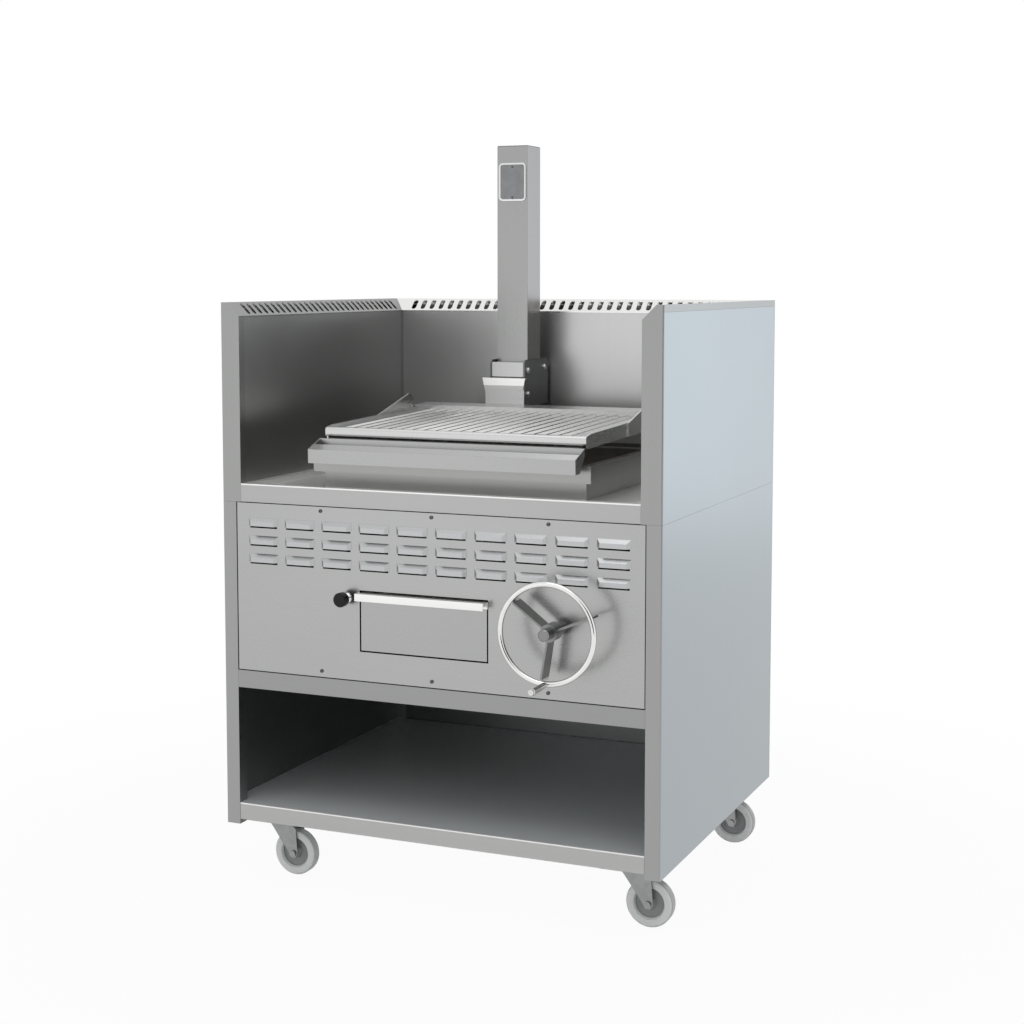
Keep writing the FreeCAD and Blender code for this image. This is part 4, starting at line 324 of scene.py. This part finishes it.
def pick(piece, kind, test):
    """Selects the faces or the edges whose middle and direction pass a test."""
    bpy.ops.mesh.select_mode(type=kind)
    bpy.ops.mesh.select_all(action="DESELECT")
    shape = bmesh.from_edit_mesh(piece.data)
    if kind == "FACE":
        for face in shape.faces:
            face.select_set(test(face.calc_center_median(), face.normal))
    else:
        for line in shape.edges:
            first, second = (corner.co for corner in line.verts)
            line.select_set(test((first + second) / 2, (second - first).normalized()))
    bmesh.update_edit_mesh(piece.data)


def end_piece(piece, material, body, smooth=30):
    """Closes the piece, gives it its material and the body that it rides on."""
    bpy.ops.object.mode_set(mode="OBJECT")
    bpy.ops.object.shade_smooth_by_angle(angle=radians(smooth))
    piece.data.materials.append(material)
    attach(piece, body)
    return piece


def copy_piece(piece, name, place, body):
    """A copy with its own mesh, moved by a matrix."""
    twin = piece.copy()
    twin.data = piece.data.copy()
    twin.data.transform(place)
    twin.name = name
    bpy.context.scene.collection.objects.link(twin)
    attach(twin, body)
    return twin


DULL_SPOTS = 60.0
GRINDING = 900.0


def bright(name, colour, roughness):
    """Turned or ground steel: a fine texture and a few dull spots."""
    finish = Finish(name, Metallic=1.0)
    cloud = finish.noise(DULL_SPOTS, detail=5.0, rough=0.65)
    fine = finish.noise(GRINDING, detail=2.0)
    dark, light = (tuple(min(share * part, 1.0) for part in colour[:3]) + (1.0,)
                   for share in (0.88, 1.08))
    finish.set(Base_Color=finish.blend(cloud, dark, light),
               Roughness=roughness + 0.2 * (cloud - 0.5) + 0.06 * (fine - 0.5),
               Normal=finish.bump(fine, GRAIN_DEPTH, 0.4))
    return finish.material


# Near black steel: the screws are painted dark as the shade in their sockets.
screw_steel_painted_shade = bright("screw_steel_painted_shade", (0.12, 0.12, 0.12, 1.0), 0.3)
SCREW_RADIUS = 0.004
SCREW_HEAD = 0.0024
SCREW_ROUND = 0.0012
SCREW_SOCKET = 0.0021
SOCKET_WALL = 0.0002
SOCKET_DEPTH = 0.0011
PANEL_SCREW_HEIGHTS = (0.486, 0.829)
PANEL_SCREW_ACROSS = (-0.26, 0.0, 0.26)
REAR_SCREW_HEIGHTS = (0.206, 0.403, 0.4845, 0.824, 0.854, 1.1937)
REAR_SCREW_ACROSS = (-0.485, 0.485)
screw = start_piece("panel_screw_1", bpy.ops.mesh.primitive_cylinder_add, vertices=36,
                    radius=SCREW_RADIUS, depth=SCREW_HEAD, rotation=(pi / 2, 0.0, 0.0),
                    location=(0.0, -SCREW_HEAD / 2, 0.0))
pick(screw, "FACE", lambda middle, normal: normal.y < -0.9)
bpy.ops.mesh.bevel(offset=SCREW_ROUND, segments=4, affect="EDGES")
pick(screw, "FACE",
     lambda middle, normal: normal.y < -0.99 and middle.xz.length < SCREW_RADIUS / 8)
bpy.ops.mesh.inset(thickness=SCREW_RADIUS - SCREW_ROUND - SCREW_SOCKET)
bpy.ops.mesh.inset(thickness=SOCKET_WALL, depth=-SOCKET_DEPTH)
end_piece(screw, screw_steel_painted_shade, "cabinet")
spots = [(across, PANEL_FACE, height, 0.0)
         for height in PANEL_SCREW_HEIGHTS for across in PANEL_SCREW_ACROSS]
spots += [(across, REAR_FACE, height, pi)
          for height in REAR_SCREW_HEIGHTS for across in REAR_SCREW_ACROSS]
for number, (across, face, height, turn) in enumerate(spots, start=1):
    seat = Matrix.Translation((across, face, height)) @ Matrix.Rotation(turn, 4, "Z")
    if number == 1:
        first_seat = seat
    else:
        copy_piece(screw, f"panel_screw_{number}", seat, "cabinet")
screw.data.transform(first_seat)
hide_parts("panel_screws")


# Painted shade in the gap all round the control panel: a near black strip, pushed in from the front
# and set back a little, that makes the gap as dark as the shade in it.
STRIP_WIDTH = 0.0020
STRIP_CLEAR = 0.0001
STRIP_FRONT = -0.3348
STRIP_DEPTH = 0.0012
STRIP_ROUND = 0.0004
low, high = (Vector(corner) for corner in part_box("control_panel"))
reach_out = STRIP_CLEAR + STRIP_WIDTH
gap_strip = start_piece("panel_gap_shade_strip", bpy.ops.mesh.primitive_cube_add, size=1.0,
                   location=(0.0, STRIP_FRONT + STRIP_DEPTH / 2, (low.z + high.z) / 2),
                   scale=(high.x - low.x + 2 * reach_out, STRIP_DEPTH,
                          high.z - low.z + 2 * reach_out))
pick(gap_strip, "FACE", lambda middle, normal: abs(normal.y) > 0.9)
bpy.ops.mesh.inset(thickness=STRIP_WIDTH)
bpy.ops.mesh.bridge_edge_loops()
pick(gap_strip, "EDGE", lambda middle, line: middle.y < STRIP_FRONT + 0.0001)
bpy.ops.mesh.bevel(offset=STRIP_ROUND, segments=3, affect="EDGES")
# Near black, standing in for the shade in the gap.
gap_strip_finish = Finish("panel_gap_painted_shade", IOR=1.42)
skin = gap_strip_finish.noise(300.0, detail=3.0)
gap_strip_finish.set(Base_Color=gap_strip_finish.blend(skin, (0.006, 0.006, 0.006, 1.0),
                                       (0.014, 0.014, 0.015, 1.0)),
             Roughness=0.55 + 0.15 * skin, Normal=gap_strip_finish.bump(skin, 0.0001, 0.3))
end_piece(gap_strip, gap_strip_finish.material, "cabinet")


# Fire tray, the wider rim on its top edge, the refractory bricks that line it, the cast ember grate
# on its floor and the ash chute below. The bricks are cast and pitted, the grate is sand-cast iron.
TRAY_TONE, TRAY_HEAT_TONE = (0.36, 0.36, 0.355, 1.0), (0.24, 0.225, 0.20, 1.0)
TRAY_HEAT_TOP = 0.96
tray_sheet = brushed("fire_tray_heat_tinted", "X", TRAY_TONE, roughness=0.3,
                     stain=(TRAY_HEAT_TONE, TRAY_HEAT_TOP, 0.15))
dress(tray_sheet, "fire_tray", "fire_tray_rim")
dress(brushed("brushed_sheet_level", "X"), "ash_chute")

brick = Finish("refractory_brick", Roughness=0.92)
pits = brick.node("ShaderNodeTexVoronoi", {}, {"Vector": brick.place, "Scale": 160.0}, "Distance")
grit = brick.noise(420.0, detail=4.0)
cloud = brick.noise(14.0, detail=4.0)
SOOT_FROM, SOOT_TO = 0.86, 0.93
soot = brick.axis("Z").over(SOOT_FROM, SOOT_TO) * (0.35 + 0.9 * (cloud - 0.4))
clay = brick.blend(0.5 * grit + 0.5 * cloud, (0.27, 0.25, 0.22, 1.0), (0.48, 0.45, 0.41, 1.0))
brick.set(Base_Color=brick.blend(soot, clay, (0.05, 0.045, 0.04, 1.0)),
          Normal=brick.bump(0.6 * pits + 0.4 * grit, 0.0012, 0.7))
dress(brick.material, "firebricks", edge=0.0015)

cast = Finish("cast_iron_grate", Metallic=0.6)
sand = cast.noise(600.0, detail=4.0)
rust = cast.noise(35.0, detail=5.0, rough=0.7)
cast.set(Base_Color=cast.blend(rust.over(0.5, 0.72), (0.045, 0.044, 0.043, 1.0),
                               (0.17, 0.075, 0.03, 1.0)),
         Roughness=0.62 + 0.3 * (rust - 0.5), Normal=cast.bump(sand, 0.0006, 0.7))
dress(cast.material, "ember_grate", edge=0.0012)


# Ash drawer: folded box on two runners, a front that closes the panel's cut-out and a folded handle
# along its top edge. The handle is painted near white, as a highlight on it.
drawer_sheet = brushed("drawer_front_brushed", "X", (0.41, 0.415, 0.41, 1.0), roughness=0.27)
handle_painted_highlight = brushed("drawer_handle_painted_highlight", "X", (0.86, 0.86, 0.85, 1.0), roughness=0.2)
dress(drawer_sheet, "ash_drawer_front", edge=0.0006)
sheet_deep = brushed("brushed_sheet_deep", "Y")
dress(sheet_deep, "ash_drawer_box", "drawer_runners")
dress(handle_painted_highlight, "ash_drawer_handle", edge=0.0008)


# Air damper: a slotted slide on the chute's side, moved by a rod whose black moulded knob stands
# out of the panel in a bright collar.
KNOB_COLLAR = -0.3465
dress(sheet_deep, "air_damper_slide")
knob = Finish("black_knob_and_bright_collar", IOR=1.35)
swirl = knob.noise(240.0, detail=3.0)
scuff = knob.noise(90.0, detail=5.0, rough=0.7)
collar = knob.axis("Y").over(KNOB_COLLAR - 0.0004, KNOB_COLLAR + 0.0004)
moulded = knob.blend(scuff.over(0.62, 0.75), (0.006, 0.006, 0.006, 1.0), (0.03, 0.03, 0.032, 1.0))
knob.set(Base_Color=knob.blend(collar, moulded, (0.75, 0.75, 0.74, 1.0)), Metallic=collar,
         Roughness=0.10 + 0.2 * scuff.over(0.5, 0.8), Normal=knob.bump(swirl, 0.0001, 0.25))
dress(knob.material, "air_damper_knob", edge=0.0012)


# Mast: a square tube that stands through the deck, with a flat cap. Two pulleys on pins inside it
# turn the cable, galvanised wire rope of seven strands, from the drum up over the top and down.
MAST_SIDE = -0.058
MAST_TONE, MAST_SIDE_PAINTED_SHADE = (0.37, 0.375, 0.37, 1.0), (0.303, 0.298, 0.295, 1.0)
# The mast's right side face is painted darker than its front: painted shade.
mast_sheet = brushed("mast_tube_brushed", "Z", MAST_TONE, roughness=0.28,
                     faces=[(past("X", MAST_SIDE - 0.0012, MAST_SIDE - 0.0004), MAST_SIDE_PAINTED_SHADE)])
dress(mast_sheet, "mast_column", "mast_cap", edge=0.0015)
pulley_steel = bright("pulley_steel", (0.5, 0.5, 0.49, 1.0), 0.3)
dress(pulley_steel, "foot_pulley", "top_pulley", "pulley_pins")

rope = Finish("galvanised_wire_rope", Metallic=1.0)
lay_and_shade = rope.node("ShaderNodeTexWave", {"bands_direction": "DIAGONAL"},
                {"Vector": rope.place, "Scale": 260.0, "Distortion": 0.4})
grease = rope.noise(80.0, detail=4.0)
# Dark bands along the lay are painted shade between the strands; the grease noise is dirt.
rope.set(Base_Color=rope.blend(lay_and_shade * 0.7 + 0.3 * grease, (0.14, 0.14, 0.14, 1.0),
                               (0.56, 0.57, 0.58, 1.0)),
         Roughness=0.35 + 0.25 * grease, Normal=rope.bump(lay_and_shade, 0.0005, 0.8))
dress(rope.material, "lift_cable", "cable_winding")

# Falling stretch of the cable, from the carriage's lug up to the top pulley: six strands of wire
# laid round a seventh, their end pressed into an eight-sided ferrule. The drum takes this stretch
# in as the carriage rises, so it draws in towards the lug.
STRAND_RADIUS = 0.0005
STRANDS = 6
LAY_STEPS = 124
LAY_TURN = radians(45.0)
FALL_CLEAR = 0.0003
fall_low, fall_high = (Vector(corner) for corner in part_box("lift_cable_fall"))
fall_length = fall_high.z - FALL_CLEAR - fall_low.z
fall_foot = Vector(((fall_low.x + fall_high.x) / 2, (fall_low.y + fall_high.y) / 2, fall_low.z))
fall = start_piece("lift_cable_fall_strands", bpy.ops.mesh.primitive_circle_add, vertices=8,
                   radius=STRAND_RADIUS, fill_type="NGON", location=fall_foot)
for strand in range(STRANDS):
    turned = 2 * pi * strand / STRANDS
    spoke = Vector((cos(turned), sin(turned), 0.0))
    bpy.ops.mesh.select_all(action="DESELECT")
    bpy.ops.mesh.primitive_circle_add(vertices=8, radius=STRAND_RADIUS, fill_type="NGON",
                                      location=fall_foot + 2 * STRAND_RADIUS * spoke)
bpy.ops.mesh.select_all(action="SELECT")
for step in range(LAY_STEPS):
    bpy.ops.mesh.extrude_region_move(
        TRANSFORM_OT_translate={"value": (0.0, 0.0, fall_length / LAY_STEPS)})
    bpy.ops.transform.rotate(value=LAY_TURN, orient_axis="Z", center_override=fall_foot)
bpy.ops.mesh.select_all(action="SELECT")
bpy.ops.mesh.normals_make_consistent(inside=False)
end_piece(fall, rope.material, "carriage", smooth=60)
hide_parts("lift_cable_fall")
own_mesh(fall)

FERRULE_RADIUS = 0.0028
FERRULE_LENGTH = 0.012
FERRULE_ROUND = 0.0005
ferrule = start_piece("lift_cable_ferrule", bpy.ops.mesh.primitive_cylinder_add, vertices=8,
                      radius=FERRULE_RADIUS, depth=FERRULE_LENGTH,
                      location=fall_foot + Vector((0.0, 0.0, FERRULE_LENGTH / 2)))
pick(ferrule, "FACE", lambda middle, normal: abs(normal.z) > 0.9)
bpy.ops.mesh.bevel(offset=FERRULE_ROUND, segments=2, affect="EDGES")
end_piece(ferrule, pulley_steel, "carriage")


# Blank name plate on the mast: pressed sheet with rounded corners, a raised rim and a dull sunk
# field that carries nothing, held by a domed rivet near its top and one near its foot.
PLATE_WIDTH = 0.070
PLATE_HEIGHT = 0.090
PLATE_SHEET = 0.0020
PLATE_RIM = 0.0035
PLATE_SUNK = 0.0008
PLATE_CORNER = 0.010
PLATE_ROUND = 0.0006
PLATE_STEP = 0.0009
PLATE_MIDDLE = Vector((-0.097, 0.3137, 1.547))
RIM_STEP = 0.0003
plate_front = PLATE_MIDDLE.y - PLATE_SHEET
plate = start_piece("name_plate_blank", bpy.ops.mesh.primitive_cube_add, size=1.0,
                    location=PLATE_MIDDLE - Vector((0.0, PLATE_SHEET / 2, 0.0)),
                    scale=(PLATE_WIDTH, PLATE_SHEET, PLATE_HEIGHT))
pick(plate, "EDGE", lambda middle, line: abs(line.y) > 0.9)
bpy.ops.mesh.bevel(offset=PLATE_CORNER, segments=7, affect="EDGES")
pick(plate, "FACE", lambda middle, normal: normal.y < -0.9)
bpy.ops.mesh.bevel(offset=PLATE_ROUND, segments=3, affect="EDGES")
pick(plate, "FACE", lambda middle, normal: normal.y < -0.99)
bpy.ops.mesh.inset(thickness=PLATE_RIM)
bpy.ops.mesh.inset(thickness=PLATE_STEP, depth=-PLATE_SUNK)
pewter = Finish("name_plate_satin", Metallic=1.0)
blast = pewter.noise(1100.0, detail=3.0)
patina = pewter.noise(45.0, detail=5.0, rough=0.6)
field = pewter.axis("Y").over(plate_front + RIM_STEP, plate_front + 2 * RIM_STEP)
dull = pewter.blend(patina, (0.19, 0.195, 0.2, 1.0), (0.33, 0.335, 0.34, 1.0))
pewter.set(Base_Color=pewter.blend(field, (0.74, 0.74, 0.73, 1.0), dull),
           Roughness=0.18 + 0.26 * field + 0.1 * (patina - 0.5),
           Normal=pewter.bump(blast * field, 0.00012, 0.7))
end_piece(plate, pewter.material, "cabinet")

RIVET_RADIUS = 0.0026
RIVET_OFFSET = 0.036
field_face = plate_front + PLATE_SUNK
rivet = start_piece("name_plate_rivet_top", bpy.ops.mesh.primitive_uv_sphere_add, segments=24,
                    ring_count=12, radius=RIVET_RADIUS,
                    location=(PLATE_MIDDLE.x, field_face, PLATE_MIDDLE.z + RIVET_OFFSET))
bpy.ops.mesh.bisect(plane_co=(0.0, field_face, 0.0), plane_no=(0.0, 1.0, 0.0),
                    clear_outer=True, use_fill=True)
bpy.ops.mesh.select_all(action="SELECT")
bpy.ops.transform.resize(value=(1.0, 0.6, 1.0), center_override=(0.0, field_face, 0.0))
end_piece(rivet, screw_steel_painted_shade, "cabinet")
copy_piece(rivet, "name_plate_rivet_foot", Matrix.Translation((0.0, 0.0, -2 * RIVET_OFFSET)),
           "cabinet")


# Carriage: two cut side plates joined by a rear plate and a front bar, under a folded cover, with
# three steel rollers that run on the mast's faces.
carriage_steel = brushed("carriage_plate", "Z", (0.20, 0.205, 0.205, 1.0), roughness=0.34)
cover_sheet = brushed("carriage_cover_brushed", "X", (0.52, 0.525, 0.52, 1.0), roughness=0.25)
dress(carriage_steel, "carriage_frame")
dress(cover_sheet, "carriage_cover", edge=0.0008)
dress(pulley_steel, "upper_front_roller", "lower_front_roller", "rear_roller")

# Roller bolts: M8 hexagon bolts right through the carriage, with a washer and a lock nut at the far
# end. Zinc plated.
BOLT_REACH = 0.049
BOLT_PLATE = 0.045
HEX_RADIUS = 0.0068
NUT_HEIGHT = 0.0028
THREAD_RADIUS = 0.004
WASHER = 0.0009
WASHER_RADIUS = HEX_RADIUS + 0.0002
HEAD_ROUND, NUT_ROUND, WASHER_ROUND = 0.0006, 0.0004, 0.0002
MAST_MIDDLE = -0.097
BOLT_PLACES = (("roller_bolt_upper", 0.3015, 1.101), ("roller_bolt_lower", 0.3015, 1.044),
               ("roller_bolt_rear", 0.4041, 1.105))
bolt_steel = bright("bolt_steel", (0.62, 0.63, 0.63, 1.0), 0.22)
bolt = start_piece("roller_bolt_upper", bpy.ops.mesh.primitive_cylinder_add, vertices=6,
                   radius=HEX_RADIUS, depth=BOLT_REACH - BOLT_PLATE - WASHER,
                   rotation=(0.0, pi / 2, 0.0),
                   location=((BOLT_REACH + BOLT_PLATE + WASHER) / 2, 0.0, 0.0))
pick(bolt, "FACE", lambda middle, normal: normal.x > 0.9)
bpy.ops.mesh.bevel(offset=HEAD_ROUND, segments=2, affect="EDGES")
for radius, low, high in ((WASHER_RADIUS, BOLT_PLATE, BOLT_PLATE + WASHER),
                          (THREAD_RADIUS, -BOLT_REACH, BOLT_PLATE + WASHER),
                          (WASHER_RADIUS, -BOLT_PLATE - WASHER, -BOLT_PLATE)):
    bpy.ops.mesh.select_all(action="DESELECT")
    bpy.ops.mesh.primitive_cylinder_add(vertices=32, radius=radius, depth=high - low,
                                        rotation=(0.0, pi / 2, 0.0),
                                        location=((low + high) / 2, 0.0, 0.0))
    bpy.ops.mesh.bevel(offset=WASHER_ROUND, segments=1, affect="EDGES")
bpy.ops.mesh.select_all(action="DESELECT")
bpy.ops.mesh.primitive_cylinder_add(vertices=6, radius=HEX_RADIUS, depth=NUT_HEIGHT,
                                    rotation=(0.0, pi / 2, 0.0),
                                    location=(-BOLT_PLATE - WASHER - NUT_HEIGHT / 2, 0.0, 0.0))
bpy.ops.mesh.bevel(offset=NUT_ROUND, segments=2, affect="EDGES")
end_piece(bolt, bolt_steel, "carriage")
for name, depth, height in BOLT_PLACES[1:]:
    copy_piece(bolt, name, Matrix.Translation((MAST_MIDDLE, depth, height)), "carriage")
bolt.data.transform(Matrix.Translation((MAST_MIDDLE, *BOLT_PLACES[0][1:])))
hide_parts("roller_bolts")


# Grill: a welded frame with swept side plates, nineteen V bars that carry the fat forward, a folded
# hook that hangs on the carriage, and the grease gutter on tabs in front of the bars.
bar_steel = brushed("grill_bar_steel", "Y", (0.80, 0.80, 0.79, 1.0), roughness=0.28)
GRILL_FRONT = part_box("grill_frame")[0][1]
GRILL_TONE, GRILL_FRONT_PAINTED_SHADE = (0.66, 0.665, 0.66, 1.0), (0.60, 0.605, 0.60, 1.0)
# The grill frame's front faces are painted a little darker than its other faces: painted shade.
frame_steel = brushed("grill_frame_steel", "Y", GRILL_TONE, roughness=0.28,
                      faces=[(before("Y", GRILL_FRONT + 0.0004, GRILL_FRONT + 0.0010),
                              GRILL_FRONT_PAINTED_SHADE)])
gutter_sheet = brushed("grease_gutter_brushed", "X", (0.42, 0.425, 0.42, 1.0), roughness=0.28)
HOOK_FOLD_HEIGHT = 0.018
HOOK_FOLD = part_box("grill_hook")[1][2] - HOOK_FOLD_HEIGHT
HOOK_TONE, HOOK_FOLD_PAINTED_HIGHLIGHT = (0.50, 0.505, 0.50, 1.0), (0.90, 0.90, 0.89, 1.0)
# The top band of the hook, its folded hem, is painted near white as a highlight on it.
hook_sheet = brushed("grill_hook_brushed", "X", HOOK_TONE, roughness=0.28,
                     faces=[(past("Z", HOOK_FOLD, HOOK_FOLD + 0.0010), HOOK_FOLD_PAINTED_HIGHLIGHT)])
dress(bar_steel, "grill_bars")
dress(frame_steel, "grill_frame")
dress(hook_sheet, "grill_hook", edge=0.0008)
dress(gutter_sheet, "grease_gutter", edge=0.0010)


# Handwheel: a bent and welded tube ring on three flat spokes set on edge, a turned hub, and a grip
# on a shouldered spindle. Its shaft runs back through two flanged bearings to the cable drum.
SHAFT_ACROSS, SHAFT_HEIGHT = 0.285, 0.621
RING_INSIDE = 0.0935
wheel_finish = Finish("handwheel_ring_polish_painted_light_and_shade", Metallic=1.0)
reach = wheel_finish.from_axle(SHAFT_ACROSS, SHAFT_HEIGHT)
held = reach.over(RING_INSIDE - 0.0006, RING_INSIDE + 0.0006)
handled = wheel_finish.noise(DULL_SPOTS, detail=5.0, rough=0.65)
ground = wheel_finish.noise(GRINDING, detail=2.0)
# The ring is painted bright as its highlights, the spokes and hub dark as their shade; the ring is
# also smoother.
spokes_painted_shade = wheel_finish.blend(handled, (0.22, 0.225, 0.22, 1.0), (0.30, 0.305, 0.30, 1.0))
ring_painted_highlight = wheel_finish.blend(handled, (0.74, 0.74, 0.73, 1.0), (0.86, 0.86, 0.85, 1.0))
wheel_finish.set(Base_Color=wheel_finish.blend(held, spokes_painted_shade, ring_painted_highlight),
                 Roughness=0.32 - 0.2 * held + 0.08 * (handled - 0.5),
                 Normal=wheel_finish.bump(ground, GRAIN_DEPTH, 0.4))
dress(wheel_finish.material, "handwheel")
grip_steel = bright("grip_steel", (0.70, 0.70, 0.69, 1.0), 0.16)
shaft_steel = bright("shaft_steel", (0.42, 0.42, 0.41, 1.0), 0.28)
dress(grip_steel, "grip_spindle", "crank_grip")
dress(shaft_steel, "lift_shaft", "shaft_bearings", "cable_drum")


# Castors: pressed zinc-plated top plates and forks, and grey polyamide wheels with a paler tread
# ring round a recessed hub. Two folded channels under the shelf carry them.
rail_sheet = brushed("castor_rail_sheet", "X", (0.36, 0.37, 0.37, 1.0), roughness=0.36)
dress(rail_sheet, "castor_rails")
zinc = Finish("zinc_plated_pressing", Metallic=1.0)
spangle = zinc.node("ShaderNodeTexVoronoi", {}, {"Vector": zinc.place, "Scale": 110.0}, "Color")
spangle = zinc.node("ShaderNodeSeparateColor", {}, [spangle])
grime = zinc.noise(30.0, detail=5.0, rough=0.65)
zinc.set(Base_Color=zinc.blend(0.35 * spangle + 0.65 * grime, (0.25, 0.255, 0.25, 1.0),
                               (0.36, 0.37, 0.365, 1.0)),
         Roughness=0.34 + 0.2 * (grime - 0.5), Normal=zinc.bump(grime, 0.0003, 0.3))
CORNERS = ("front_left", "front_right", "rear_left", "rear_right")
dress(zinc.material, "castor_plates", *[corner + "_fork" for corner in CORNERS])

HUB_EDGE = 0.031
TREAD_EDGE = 0.048
for corner in CORNERS:
    low, high = (Vector(end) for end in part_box(corner + "_wheel"))
    middle = (low + high) / 2
    tyre = Finish(corner + "_wheel_polyamide", IOR=1.48)
    away = tyre.from_axle(middle.x, middle.z)
    ring = away.over(HUB_EDGE - 0.0006, HUB_EDGE + 0.0006)
    speck = tyre.noise(500.0, detail=3.0)
    dust = tyre.noise(38.0, detail=5.0, rough=0.7)
    tread = away.over(TREAD_EDGE, TREAD_EDGE + 0.0008) * (0.8 + 0.4 * (dust - 0.5))
    face = tyre.blend(ring, (0.25, 0.265, 0.265, 1.0), (0.86, 0.88, 0.87, 1.0))
    face = tyre.blend(0.20 * dust + 0.10 * speck, face, (0.62, 0.63, 0.62, 1.0))
    tyre.set(Base_Color=tyre.blend(tread, face, (0.36, 0.36, 0.35, 1.0)),
             Roughness=0.42 + 0.2 * (dust - 0.5), Normal=tyre.bump(speck, 0.0002, 0.35))
    dress(tyre.material, corner + "_wheel")


# Studio: a plain pale floor that runs into a white surround, an even sky of light, three soft boxes
# and a dark flag beside the camera, which gives the sheets the photograph's darker inner sides.
FLOOR = -0.0005
FLOOR_SIZE = 60.0
FLOOR_NEAR, FLOOR_FAR = 0.9, 2.2
NEAR_WHITE = 0.94
bpy.ops.object.select_all(action="DESELECT")
bpy.ops.mesh.primitive_plane_add(size=FLOOR_SIZE, location=(0.0, 0.0, FLOOR))
floor = bpy.context.object
floor.name = "studio_floor"
bpy.ops.object.transform_apply(location=True, rotation=True, scale=True)


def in_view(finish):
    """1 where the camera or a mirror looks, 0 where only light falls."""
    looked = 0.0
    for ray in ("Is Camera Ray", "Is Glossy Ray", "Is Transmission Ray"):
        looked = finish.node("ShaderNodeMath", {"operation": "MAXIMUM"},
                             [looked, finish.node("ShaderNodeLightPath", {}, {}, ray)])
    return looked


paper = Finish("studio_floor_paper", Base_Color=(0.8, 0.8, 0.8, 1.0), Roughness=0.9)
away = paper.node("ShaderNodeVectorMath", {"operation": "LENGTH"}, [paper.place], "Value")
glow = in_view(paper) * (NEAR_WHITE + (1.0 - NEAR_WHITE) * away.over(FLOOR_NEAR, FLOOR_FAR))
white = paper.node("ShaderNodeEmission", {}, {"Color": (1.0, 1.0, 1.0, 1.0), "Strength": 1.0})
lit = Reading(paper, paper.shader.outputs[0])
mixed = paper.node("ShaderNodeMixShader", {}, [glow, lit, white])
paper.tree.links.new(mixed.socket, paper.tree.nodes["Material Output"].inputs["Surface"])
floor.data.materials.append(paper.material)

SKY = 0.78


class Surround(Finish):
    """The even light all round, built with a material's nodes on the world's shader."""

    def __init__(self, name):
        self.world = bpy.data.worlds.new(name)
        self.world.use_nodes = True
        self.tree = self.world.node_tree
        self.shader = self.tree.nodes["Background"]


sky = Surround("studio")
sky.set(Color=(1.0, 1.0, 1.0, 1.0), Strength=SKY + (1.0 - SKY) * in_view(sky))
bpy.context.scene.world = sky.world


def soft_box(name, place, aim, size, level, colour):
    """A square lamp whose face shines as brightly as a wall of that level would."""
    data = bpy.data.lights.new(name, "AREA")
    data.shape = "SQUARE"
    data.size = size
    data.color = colour
    data.energy = level * pi * size * size
    lamp = bpy.data.objects.new(name, data)
    bpy.context.scene.collection.objects.link(lamp)
    lamp.location = place
    lamp.rotation_euler = (Vector(aim) - Vector(place)).to_track_quat("-Z", "Y").to_euler()
    lamp.visible_camera = False


DAYLIGHT, WHITE = (0.78, 0.90, 1.0), (1.0, 1.0, 1.0)
soft_box("soft_box_right", place=(2.5, 3.7, 1.15), aim=(0.5, 0.0, 0.9), size=1.9, level=0.80,
         colour=DAYLIGHT)
soft_box("soft_box_left", place=(-1.8, -4.2, 0.6), aim=(0.0, 0.0, 0.7), size=1.6, level=0.25,
         colour=WHITE)
soft_box("soft_box_top", place=(0.2, -1.2, 3.6), aim=(0.0, 0.1, 0.8), size=2.0, level=0.9,
         colour=WHITE)

FLAG_SIZE = 3.4
FLAG_PLACE = (2.5, -4.9, 1.4)
FLAG_TURN = radians(23.0)
bpy.ops.object.select_all(action="DESELECT")
bpy.ops.mesh.primitive_plane_add(size=FLAG_SIZE, location=FLAG_PLACE,
                                 rotation=(pi / 2, 0.0, FLAG_TURN))
flag = bpy.context.object
flag.name = "studio_flag"
bpy.ops.object.transform_apply(location=True, rotation=True, scale=True)
flag.visible_camera = False
felt = Finish("studio_flag_felt", Base_Color=(0.03, 0.03, 0.03, 1.0), Roughness=1.0)
flag.data.materials.append(felt.material)


# Camera: where the photograph was taken from, found by fitting the cabinet's corners. It looks down
# a little, and its lens is shifted so that the object stands where it does in the photograph.
CAMERA_PLACE = (1.5972, -3.6330, 1.3206)
CAMERA_DOWN = radians(4.855)
CAMERA_TURN = radians(23.247)
LENS = 63.05
SENSOR = 36.0
LENS_SHIFT = -0.0801
FAR_CLIP = 100.0
camera_data = bpy.data.cameras.new("photograph")
camera = bpy.data.objects.new("photograph", camera_data)
bpy.context.scene.collection.objects.link(camera)
camera.location = CAMERA_PLACE
camera.rotation_euler = (pi / 2 - CAMERA_DOWN, 0.0, CAMERA_TURN)
camera_data.lens = LENS
camera_data.sensor_width = SENSOR
camera_data.shift_y = LENS_SHIFT
camera_data.clip_end = FAR_CLIP
bpy.context.scene.camera = camera
bpy.context.scene.view_settings.view_transform = "Standard"
